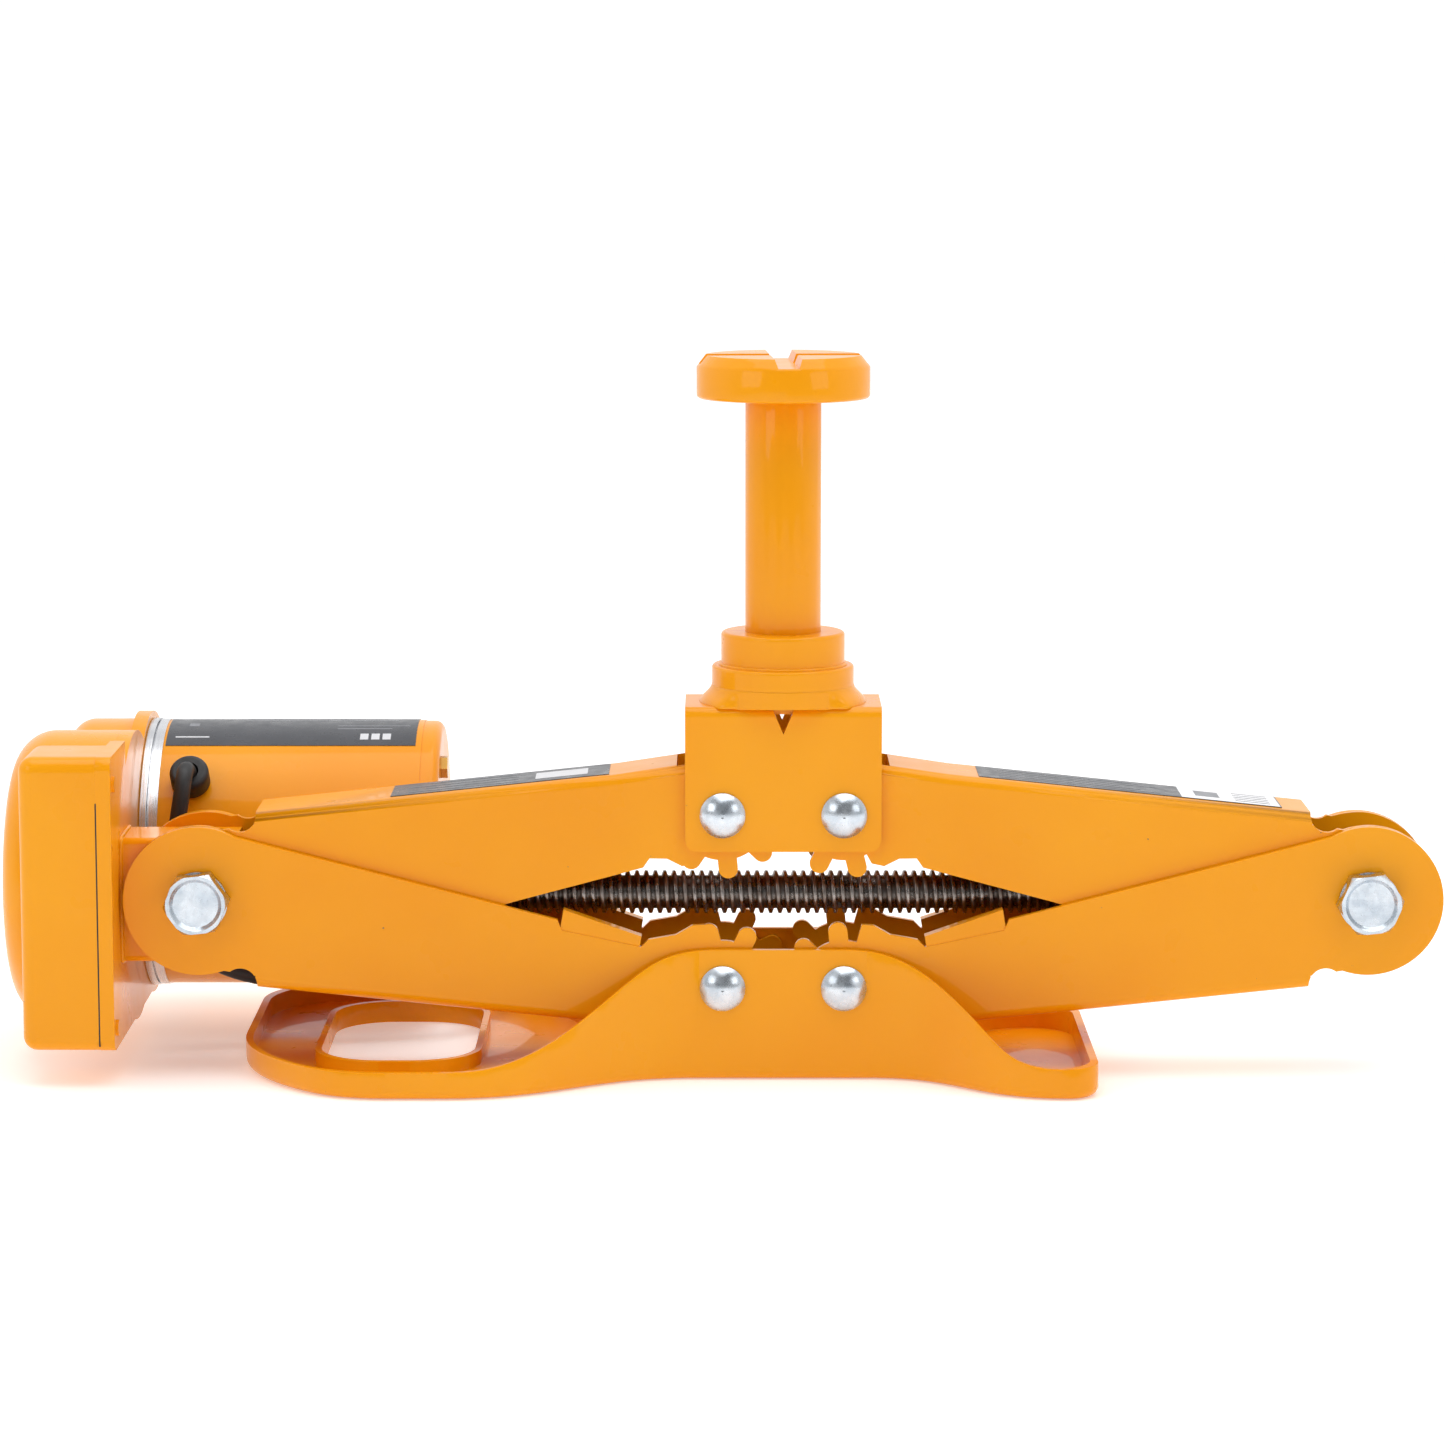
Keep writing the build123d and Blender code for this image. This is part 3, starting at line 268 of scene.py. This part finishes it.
def painted(name):
    """Glossy orange enamel with orange peel, soft waves, colour drift and a few tiny chips to bare steel."""
    shader = Shader(name)
    shader.set(IOR=1.5, Specular_IOR_Level=0.1, Coat_Weight=0.34, Coat_Roughness=0.04)
    drift = shader.share(shader.noise(14.0, detail=2.0), 0.35, 0.7)
    color = shader.mix(drift, ORANGE, ORANGE_DEEP)
    chips = shader.share(shader.noise(310.0, detail=4.0, roughness=0.6), 0.755, 0.765)
    color = shader.mix(chips, color, BARE_STEEL)
    rough = shader.between(shader.noise(60.0), (0.26, 0.36))
    peel = shader.bump(shader.noise(420.0, detail=2.0), strength=0.10, distance=0.0006)
    wave = shader.bump(shader.noise(26.0, detail=1.0), strength=0.16, distance=0.0022, below=peel)
    pit = shader.bump(chips, strength=-0.25, distance=0.0004, below=wave)
    return shader.finish(color, rough, pit)


def zinc(name):
    """Bright zinc plating with fine scratches and faint blue-grey mottling."""
    shader = Shader(name)
    shader.set(Metallic=1.0)
    mottled = shader.share(shader.noise(180.0, detail=4.0))
    color = shader.mix(mottled, srgb(216, 222, 228), srgb(186, 196, 206))
    rough = shader.between(shader.noise(420.0, detail=4.0), (0.20, 0.34))
    grain = shader.stretched((120.0, 900.0, 2200.0))
    scratches = shader.noise(1.0, roughness=0.6, coords=grain)
    return shader.finish(color, rough, shader.bump(scratches, strength=0.07, distance=0.0002))


def dark_steel(name):
    """Oiled, rolled thread steel, mottled between bright and brownish grey."""
    shader = Shader(name)
    shader.set(Metallic=1.0)
    grime = shader.share(shader.noise(160.0, detail=5.0, roughness=0.65), 0.35, 0.68)
    color = shader.mix(grime, srgb(158, 152, 148), srgb(112, 100, 92))
    rough = shader.between(shader.noise(300.0), (0.20, 0.38))
    return shader.finish(color, rough, shader.bump(shader.noise(900.0), strength=0.2, distance=0.0003))


def plain_metal(name, light, dark, roughness, grain):
    """Machined metal with fine turning marks; grain is how fine they are along each axis."""
    shader = Shader(name)
    shader.set(Metallic=1.0)
    tone = shader.share(shader.noise(90.0, detail=4.0))
    marks = shader.noise(1.0, detail=2.0, coords=shader.stretched(grain))
    rough = shader.between(marks, roughness)
    color = shader.mix(tone, light, dark)
    return shader.finish(color, rough, shader.bump(marks, strength=0.1, distance=0.0002))


def moulded(name, light, dark, roughness, grain_strength):
    """Moulded rubber or plastic with a fine grain."""
    shader = Shader(name)
    tone = shader.share(shader.noise(70.0))
    grain = shader.noise(1600.0, detail=2.0)
    rough = shader.between(shader.noise(240.0), roughness)
    color = shader.mix(tone, light, dark)
    return shader.finish(color, rough, shader.bump(grain, strength=grain_strength, distance=0.0002))


PAINTS = ("base_paint", "arm_paint", "saddle_paint", "gearbox_paint", "motor_paint")
# Looks of the other slots: light colour, dark colour, range of roughness, and grain
PLAIN_METALS = {
    "gear_steel": (srgb(160, 160, 164), srgb(112, 112, 116), (0.25, 0.45), (900, 60, 60)),
    "flange_aluminium": (srgb(228, 229, 232), srgb(196, 198, 203), (0.16, 0.34), (2600, 40, 40)),
    "copper_brass": (srgb(214, 170, 92), srgb(186, 134, 66), (0.2, 0.4), (900, 90, 90)),
}
MOULDED = {
    "ferrite": (srgb(52, 52, 56), srgb(36, 36, 40), (0.6, 0.85), 0.3),
    "label_film": (srgb(66, 68, 74), srgb(56, 58, 64), (0.22, 0.38), 0.05),
    "cord_rubber": (srgb(34, 34, 36), srgb(22, 22, 24), (0.42, 0.62), 0.25),
    "plug_plastic": (srgb(38, 38, 41), srgb(26, 26, 29), (0.35, 0.55), 0.3),
}


def make_materials():
    """One material for every slot."""
    materials = {name: painted(name) for name in PAINTS}
    materials["zinc"] = zinc("zinc")
    materials["screw_steel"] = dark_steel("screw_steel")
    for name, look in PLAIN_METALS.items():
        materials[name] = plain_metal(name, *look)
    for name, look in MOULDED.items():
        materials[name] = moulded(name, *look)
    return materials


MATERIALS = make_materials()


def give(piece, slot_name):
    """Give a piece one material in all its slots."""
    piece.data.materials.clear()
    piece.data.materials.append(MATERIALS[slot_name])


def paint_nodes():
    """Every CAD node takes the material of its own slot."""
    for entry in frame["record"]["subparts"]:
        give(nodes[entry["node"]], entry["material_slot"])


paint_nodes()
give(cord, "cord_rubber")


# Softened sheet and casting edges; each piece's width is in millimetres
EDGE_WELD = 0.000005
EDGE_ANGLE_DEG = 38
EDGE_SEGMENTS = 3
EDGE_SOFT = {
    "base_plate": 0.7,
    "lower_arm_left": 0.5,
    "lower_arm_right": 0.5,
    "upper_arm_left": 0.5,
    "upper_arm_right": 0.5,
    "saddle_bracket": 0.5,
    "trunnion_box": 0.4,
    "gearbox_plate": 0.9,
    "trunnion_bolts_left": 0.5,
    "trunnion_bolts_right": 0.5,
    "saddle_head": 0.5,
    "post_stem": 0.3,
    "cable_grommet": 0.3,
    "accessory_plug": 0.6,
}


def soften_edges():
    """Round the sharp edges of pressed and cut pieces, as paint and deburring leave them."""
    for name, width in EDGE_SOFT.items():
        piece = nodes[name]
        weld = piece.modifiers.new("weld", "WELD")
        weld.merge_threshold = EDGE_WELD
        bevel = piece.modifiers.new("soft_edges", "BEVEL")
        bevel.limit_method = "ANGLE"
        bevel.angle_limit = math.radians(EDGE_ANGLE_DEG)
        bevel.width = width * MM
        bevel.segments = EDGE_SEGMENTS
        bevel.use_clamp_overlap = True
        bevel.harden_normals = True


soften_edges()


# Helpers for the pieces that only the picture has
DOUBLES_DIST = 1e-6
BOX_FACES = [(0, 1, 2, 3), (4, 5, 6, 7), (0, 1, 5, 4), (1, 2, 6, 5), (2, 3, 7, 6), (3, 0, 4, 7)]


def add_mesh(name, verts, faces, slot_name, body, smooth=True, material=None):
    """New mesh piece in the row frame, with its material, slot and body.

    The material is the slot's own one unless another is given.
    """
    mesh = bpy.data.meshes.new(name)
    mesh.from_pydata([tuple(v) for v in verts], [], faces)
    build = bmesh.new()
    build.from_mesh(mesh)
    bmesh.ops.remove_doubles(build, verts=build.verts, dist=DOUBLES_DIST)
    bmesh.ops.recalc_face_normals(build, faces=build.faces)
    build.to_mesh(mesh)
    build.free()
    for face in mesh.polygons:
        face.use_smooth = smooth
    piece = bpy.data.objects.new(name, mesh)
    bpy.context.scene.collection.objects.link(piece)
    mesh.materials.append(material or MATERIALS[slot_name])
    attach(piece, body)
    return piece


def ring_faces(rows, columns, closed_rows=False):
    """Quads between neighbouring rings of points."""
    faces = []
    for row in range(rows if closed_rows else rows - 1):
        below = (row + 1) % rows
        for column in range(columns):
            beside = (column + 1) % columns
            start, after = row * columns, below * columns
            faces.append((start + column, start + beside, after + beside, after + column))
    return faces


def capped_ring_faces(rows, columns):
    """Quads between rings, with the two end rings closed."""
    last = (rows - 1) * columns
    faces = ring_faces(rows, columns)
    faces.append(tuple(range(columns)))
    faces.append(tuple(last + column for column in reversed(range(columns))))
    return faces


# Lead screw with its real helix
THREAD_PITCH = 0.003
THREAD_R, ROOT_R = 0.007, 0.0054
CREST_ROUNDING = 0.0001
THREAD_FROM = -0.172
THREAD_END_GAP = 0.0005
JOURNAL_R = 0.0052
SHOULDER_FROM, SHOULDER_TO = THREAD_FROM - 0.0006, THREAD_FROM - 0.0004
SCREW_CHAMFER = 0.0006
SCREW_COLUMNS = 32
# One turn of the thread: share of the pitch, and radius there
THREAD_PROFILE = (
    (0.0, ROOT_R),
    (0.17, THREAD_R - CREST_ROUNDING),
    (0.22, THREAD_R),
    (0.46, THREAD_R),
    (0.51, THREAD_R - CREST_ROUNDING),
    (0.68, ROOT_R),
)


def thread_mesh(axis_z, thread_to):
    """Points and faces of the thread, whose profile climbs one pitch in every turn."""
    verts, faces = [], []
    turns = int((thread_to - THREAD_FROM) / THREAD_PITCH) + 2
    rows = [(turn + share, radius) for turn in range(-1, turns) for share, radius in THREAD_PROFILE]
    for turn_share, radius in rows:
        for column in range(SCREW_COLUMNS):
            x = THREAD_FROM + THREAD_PITCH * (turn_share + column / SCREW_COLUMNS)
            x = min(max(x, THREAD_FROM), thread_to)
            angle = 2 * math.pi * column / SCREW_COLUMNS
            verts.append((x, radius * math.cos(angle), axis_z + radius * math.sin(angle)))
    for row in range(len(rows) - 1):
        for column in range(SCREW_COLUMNS - 1):
            first = row * SCREW_COLUMNS + column
            faces.append((first, first + 1, first + 1 + SCREW_COLUMNS, first + SCREW_COLUMNS))
        ahead = row + len(THREAD_PROFILE)
        if ahead + 1 < len(rows):
            last = row * SCREW_COLUMNS + SCREW_COLUMNS - 1
            faces.append((last, ahead * SCREW_COLUMNS, (ahead + 1) * SCREW_COLUMNS, last + SCREW_COLUMNS))
    return verts, faces


def make_lead_screw():
    """Trapezoidal thread as a true helix, with a plain journal at the gearbox end."""
    low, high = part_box("lead_screw")
    axis_z = (low.z + high.z) / 2
    thread_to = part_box("screw_end_stop")[0].x - THREAD_END_GAP
    verts, faces = thread_mesh(axis_z, thread_to)
    thread = add_mesh("lead_screw_thread", verts, faces, "screw_steel", "screw")
    core_rows = (
        (low.x, JOURNAL_R - SCREW_CHAMFER),
        (low.x + SCREW_CHAMFER, JOURNAL_R),
        (SHOULDER_FROM, JOURNAL_R),
        (SHOULDER_TO, ROOT_R),
        (high.x - SCREW_CHAMFER, ROOT_R),
        (high.x, ROOT_R - SCREW_CHAMFER),
    )
    verts = []
    for x, radius in core_rows:
        for column in range(SCREW_COLUMNS):
            angle = 2 * math.pi * column / SCREW_COLUMNS
            verts.append((x, radius * math.cos(angle), axis_z + radius * math.sin(angle)))
    faces = capped_ring_faces(len(core_rows), SCREW_COLUMNS)
    core = add_mesh("lead_screw_core", verts, faces, "screw_steel", "screw")
    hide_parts("lead_screw")
    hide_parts("lead_screw")


make_lead_screw()


# Skin and weld beads on the saddle and the trunnion box
NEAR_ZERO = 1e-6
FLARE_COLUMNS, FLARE_ROWS = 96, 9
FLARE_H = 0.0056
FLARE_REACH = 0.0042
FLARE_GAP = 0.0001
FLARE_DROP, FLARE_EDGE_DROP = 0.0004, 0.0007
FLARE_INSIDE_SHARE = 0.86
WELD_R = 0.0008
WELD_COLUMNS = 10
WELD_ACROSS = (0.31, 0.17, 0.93)
WELD_WAVE, WELD_SLOW_WAVE = 1.9, 0.7
TRUNNION_WELD_INSET = 0.0003
TRUNNION_WELD_CORNER = 0.0008
TRUNNION_WELD_PER_SIDE = 36
TRUNNION_RIPPLE, SLEEVE_RIPPLE = 0.22, 0.15
SLEEVE_WELD_GAP = 0.0001
SLEEVE_WELD_POINTS = 120


def make_collar_flare():
    """Skin drawn from the bracket's top into the outer ring, as the pressed and welded joint has it."""
    bracket_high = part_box("saddle_bracket")[1]
    collar_low, collar_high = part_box("saddle_collar")
    ring_r = (collar_high.x - collar_low.x) / 2
    verts = []
    for row in range(FLARE_ROWS):
        share = row / (FLARE_ROWS - 1)
        ease = share * share * (3 - 2 * share)
        for column in range(FLARE_COLUMNS):
            angle = 2 * math.pi * column / FLARE_COLUMNS
            cosine, sine = math.cos(angle), math.sin(angle)
            edge_r = (bracket_high.y + FLARE_GAP) / max(abs(sine), NEAR_ZERO)
            foot_r = min(ring_r + FLARE_REACH, edge_r)
            drop = FLARE_EDGE_DROP if foot_r < ring_r else FLARE_DROP
            radius = foot_r + (ring_r + FLARE_GAP - foot_r) * ease
            z = bracket_high.z - drop + (FLARE_H + drop) * share
            verts.append((radius * cosine, radius * sine, z))
    foot, rim = verts[:FLARE_COLUMNS], verts[-FLARE_COLUMNS:]
    for x, y, z in rim + foot:
        verts.append((x * FLARE_INSIDE_SHARE, y * FLARE_INSIDE_SHARE, z))
    faces = ring_faces(FLARE_ROWS + 2, FLARE_COLUMNS, True)
    add_mesh("collar_flare", verts, faces, "saddle_paint", "saddle")


make_collar_flare()


def weld_bead(name, path, slot_name, body, ripple):
    """Closed, rippled bead along a path."""
    verts = []
    count = len(path)
    for index, place in enumerate(path):
        before, after = Vector(path[index - 1]), Vector(path[(index + 1) % count])
        along = (after - before).normalized()
        side = along.cross(Vector(WELD_ACROSS)).normalized()
        up = along.cross(side)
        wave = math.sin(index * WELD_WAVE) * math.cos(index * WELD_SLOW_WAVE)
        swell = WELD_R * (1 + ripple * wave)
        for column in range(WELD_COLUMNS):
            angle = 2 * math.pi * column / WELD_COLUMNS
            verts.append(Vector(place) + swell * (math.cos(angle) * side + math.sin(angle) * up))
    add_mesh(name, verts, ring_faces(count, WELD_COLUMNS, True), slot_name, body)


def rounded_rectangle(x, low, high, corner, per_side):
    """Points round a rectangle across X, with its corners cut short."""
    points = []
    middle_y, middle_z = (low[0] + high[0]) / 2, (low[1] + high[1]) / 2
    half_y, half_z = (high[0] - low[0]) / 2, (high[1] - low[1]) / 2
    count = 4 * per_side
    for index in range(count):
        angle = 2 * math.pi * index / count
        cosine, sine = math.cos(angle), math.sin(angle)
        scale = min(half_y / max(abs(cosine), NEAR_ZERO), half_z / max(abs(sine), NEAR_ZERO))
        reach = min(scale, math.hypot(half_y, half_z) - corner)
        points.append((x, middle_y + reach * cosine, middle_z + reach * sine))
    return points


def make_welds():
    """Bead round the trunnion box, and one where the guide sleeve leaves the outer ring."""
    low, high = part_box("trunnion_box")
    path = rounded_rectangle(
        low.x + TRUNNION_WELD_INSET,
        (low.y, low.z),
        (high.y, high.z),
        TRUNNION_WELD_CORNER,
        TRUNNION_WELD_PER_SIDE,
    )
    weld_bead("trunnion_weld", path, "gearbox_paint", "carriage", TRUNNION_RIPPLE)
    bead_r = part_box("guide_sleeve")[1].x + SLEEVE_WELD_GAP
    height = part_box("saddle_collar")[1].z
    path = []
    for index in range(SLEEVE_WELD_POINTS):
        angle = 2 * math.pi * index / SLEEVE_WELD_POINTS
        path.append((bead_r * math.cos(angle), bead_r * math.sin(angle), height))
    weld_bead("sleeve_weld", path, "saddle_paint", "saddle", SLEEVE_RIPPLE)


make_welds()


# Print on the labels: plain bars, with no lettering
INK_DARKER = 0.93
INK_GRAIN = 0.03
FILM_THICKNESS = 0.00022
LINE_LIFT, FIELD_LIFT, ON_FIELD_LIFT = 0.00006, 0.00005, 0.00011
MOTOR_PRINT_LIFT, MOTOR_PRINT_DEPTH = 0.00004, 0.0003
MOTOR_PRINT_COLUMNS = 9
# Each arm label: the way it leaves the saddle, and the arm that carries it
ARM_LABELS = {
    "arm_label_left": (-1, "upper_arm_left"),
    "arm_label_right": (1, "upper_arm_right"),
}


def printed_ink(name, color, roughness):
    """Printed ink with slight unevenness."""
    darker = tuple(c * INK_DARKER for c in color[:3]) + (1.0,)
    return moulded(name, color, darker, roughness, INK_GRAIN)


PRINT_PALE = printed_ink("print_pale", srgb(214, 216, 220), (0.3, 0.45))
PRINT_WHITE = printed_ink("print_white", srgb(243, 243, 245), (0.25, 0.4))
PRINT_GREY = printed_ink("print_grey", srgb(128, 130, 136), (0.3, 0.45))


def label_patch(name, label, length, width, lift, material):
    """Thin printed patch on an arm's label.

    Its length is from one share to another of the label's own, counted from the saddle. Its width is from
    one Y to another.
    """
    side, body = ARM_LABELS[label]
    low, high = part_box(label)
    inner = Vector((high.x if side < 0 else low.x, 0, high.z - FILM_THICKNESS))
    outer = Vector((low.x if side < 0 else high.x, 0, low.z))
    along = outer - inner
    normal = Vector((-along.z, 0, along.x)).normalized()
    normal = normal if normal.z > 0 else -normal
    start, end = length
    low_y, high_y = width
    verts = []
    for height in (FILM_THICKNESS, FILM_THICKNESS + lift):
        for share, y in ((start, low_y), (end, low_y), (end, high_y), (start, high_y)):
            verts.append(inner + along * share + normal * height + Vector((0, y, 0)))
    add_mesh(name, verts, BOX_FACES, "label_film", body, False, material)


def make_label_print():
    """Bars and blocks in place of the printed words and signs."""
    left, right = "arm_label_left", "arm_label_right"
    label_patch("left_print_block", left, (0.10, 0.34), (-0.006, 0.006), LINE_LIFT, PRINT_PALE)
    line_w = 0.0011
    for row in range(4):
        end = 0.92 - 0.08 * (row % 2)
        y = -0.0072 + row * 0.0048
        label_patch(f"left_print_line_{row}", left, (0.42, end), (y, y + line_w), LINE_LIFT, PRINT_GREY)
    label_patch("right_white_field", right, (0.67, 0.995), (-0.0108, 0.0108), FIELD_LIFT, PRINT_WHITE)
    label_patch("right_grey_sign", right, (0.72, 0.80), (-0.005, 0.005), ON_FIELD_LIFT, PRINT_GREY)
    line_w = 0.0009
    for row in range(5):
        end = 0.60 - 0.06 * (row % 3)
        y = -0.0078 + row * 0.0036
        width = (y, y + line_w)
        label_patch(f"right_print_line_{row}", right, (0.07, end), width, LINE_LIFT, PRINT_GREY)
        label_patch(f"right_field_line_{row}", right, (0.85, 0.965), width, ON_FIELD_LIFT, PRINT_GREY)


make_label_print()


def motor_patch(name, length, low_deg, high_deg, material):
    """Thin printed patch wrapped on the motor's label.

    Its length is from one share to another of the label's own, and the angles are measured from the front.
    """
    low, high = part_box("motor_label")
    can_low, can_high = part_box("motor_can")
    axis_y, axis_z = (can_low.y + can_high.y) / 2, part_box("lead_screw")[0].z + THREAD_R
    skin_r = high.z - axis_z + MOTOR_PRINT_LIFT
    ends = [low.x + (high.x - low.x) * share for share in length]
    columns = MOTOR_PRINT_COLUMNS
    verts = []
    for radius in (skin_r - MOTOR_PRINT_DEPTH, skin_r):
        for x in ends:
            for column in range(columns):
                angle = math.radians(low_deg + (high_deg - low_deg) * column / (columns - 1))
                verts.append((x, axis_y - radius * math.cos(angle), axis_z + radius * math.sin(angle)))
    faces = []
    strips = ((0, columns), (2 * columns, 3 * columns), (0, 2 * columns), (columns, 3 * columns))
    for column in range(columns - 1):
        for first, second in strips:
            faces.append((first + column, first + column + 1, second + column + 1, second + column))
    faces.append((0, columns, 3 * columns, 2 * columns))
    last = columns - 1
    faces.append((last, columns + last, 3 * columns + last, 2 * columns + last))
    add_mesh(name, verts, faces, "label_film", "carriage", False, material)


def make_motor_print():
    """Bars and a block pattern on the motor's label, in place of its words."""
    block_length = 0.033
    for index, start in enumerate((0.775, 0.82, 0.865)):
        motor_patch(f"motor_block_{index}", (start, start + block_length), 66.0, 71.0, PRINT_PALE)
    motor_patch("motor_line_left", (0.035, 0.17), 67.6, 68.6, PRINT_PALE)
    motor_patch("motor_line_top", (0.68, 0.97), 79.0, 79.9, PRINT_GREY)
    motor_patch("motor_line_middle", (0.68, 0.90), 75.6, 76.5, PRINT_GREY)
    motor_patch("motor_sign", (0.08, 0.12), 79.0, 83.0, PRINT_GREY)
    for row in range(5):
        low_deg = 88.0 + 4.5 * row
        end = 0.92 - 0.07 * (row % 3)
        motor_patch(f"motor_text_{row}", (0.30, end), low_deg, low_deg + 1.0, PRINT_GREY)


make_motor_print()

# Painted shade: a strip of the dark cord material stands for the shade in the gap at the gearbox cover's
# joint
SEAM_HALF = 0.00022
SEAM_PROUD, SEAM_DEPTH = 0.00004, 0.0012
SEAM_BOTTOM_GAP, SEAM_TOP_GAP = 0.0035, 0.0145


def make_cover_gap_shade():
    """Dark strip in the thin gap between the gearbox cover and its plate, on the near side: painted shade of
    the gap.
    """
    low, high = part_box("gearbox_cover")
    near = low.y - SEAM_PROUD
    back = near + SEAM_DEPTH
    bottom, top = low.z + SEAM_BOTTOM_GAP, high.z - SEAM_TOP_GAP
    verts = []
    for x in (high.x - SEAM_HALF, high.x + SEAM_HALF):
        for y, z in ((near, bottom), (near, top), (back, top), (back, bottom)):
            verts.append((x, y, z))
    add_mesh("cover_gap_shade", verts, BOX_FACES, "cord_rubber", "carriage", False)


make_cover_gap_shade()


# Stage
FLOOR_HALF = 6.0
FLOOR_DROP = 0.0002
FLOOR_GLOW = 0.3
# The surroundings' strength fades from the camera's side to the far side, by direction along Y
FADE_FROM, FADE_TO = -0.6, -0.05
DARK_STRENGTH, BRIGHT_STRENGTH = 0.26, 1.02
LIGHT_AIM = (-0.02, 0.02, 0.1)
# Soft boxes: name, place, size in metres and power in watts
SOFT_BOXES = (
    ("top_box", (0.1, -0.2, 1.6), 1.6, 15),
    ("left_box", (-1.3, -1.3, 0.9), 0.9, 5),
    ("right_box", (1.4, -1.2, 0.8), 0.8, 3.5),
)


def make_floor():
    """Plain pale floor that glows a little."""
    half = FLOOR_HALF
    corners = [(-half, -half, 0), (half, -half, 0), (half, half, 0), (-half, half, 0)]
    mesh = bpy.data.meshes.new("floor")
    mesh.from_pydata(corners, [], [(0, 1, 2, 3)])
    floor = bpy.data.objects.new("floor", mesh)
    bpy.context.scene.collection.objects.link(floor)
    floor.location.z = -FLOOR_DROP
    shader = Shader("floor_pale")
    rough = shader.between(shader.noise(3.0), (0.5, 0.6))
    shader.set(
        Base_Color=(0.9, 0.9, 0.9, 1.0),
        Emission_Color=(1.0, 1.0, 1.0, 1.0),
        Emission_Strength=FLOOR_GLOW,
    )
    mesh.materials.append(shader.finish(roughness=rough))


def make_light(name, place, size, power):
    """Square soft box aimed at the jack."""
    data = bpy.data.lights.new(name, "AREA")
    data.shape = "SQUARE"
    data.size = size
    data.energy = power
    light = bpy.data.objects.new(name, data)
    bpy.context.scene.collection.objects.link(light)
    light.location = place
    direction = Vector(LIGHT_AIM) - Vector(place)
    light.rotation_euler = direction.to_track_quat("-Z", "Y").to_euler()


def make_surroundings():
    """White studio behind and above the jack, dark room on the camera's side."""
    world = bpy.data.worlds.new("surroundings")
    bpy.context.scene.world = world
    world.use_nodes = True
    tree = world.node_tree
    background = tree.nodes["Background"]
    background.inputs["Color"].default_value = (1, 1, 1, 1)
    direction = tree.nodes.new("ShaderNodeTexCoord").outputs["Generated"]
    split = tree.nodes.new("ShaderNodeSeparateXYZ")
    fade = tree.nodes.new("ShaderNodeMapRange")
    limits = {
        "From Min": FADE_FROM,
        "From Max": FADE_TO,
        "To Min": DARK_STRENGTH,
        "To Max": BRIGHT_STRENGTH,
    }
    for key, value in limits.items():
        fade.inputs[key].default_value = value
    tree.links.new(direction, split.inputs[0])
    tree.links.new(split.outputs["Y"], fade.inputs["Value"])
    tree.links.new(fade.outputs["Result"], background.inputs["Strength"])


def make_lighting():
    """Large soft box above, and one each side in front."""
    for name, place, size, power in SOFT_BOXES:
        make_light(name, place, size, power)
    bpy.context.scene.view_settings.view_transform = "Standard"


make_floor()
make_surroundings()
make_lighting()

bpy.context.view_layer.update()
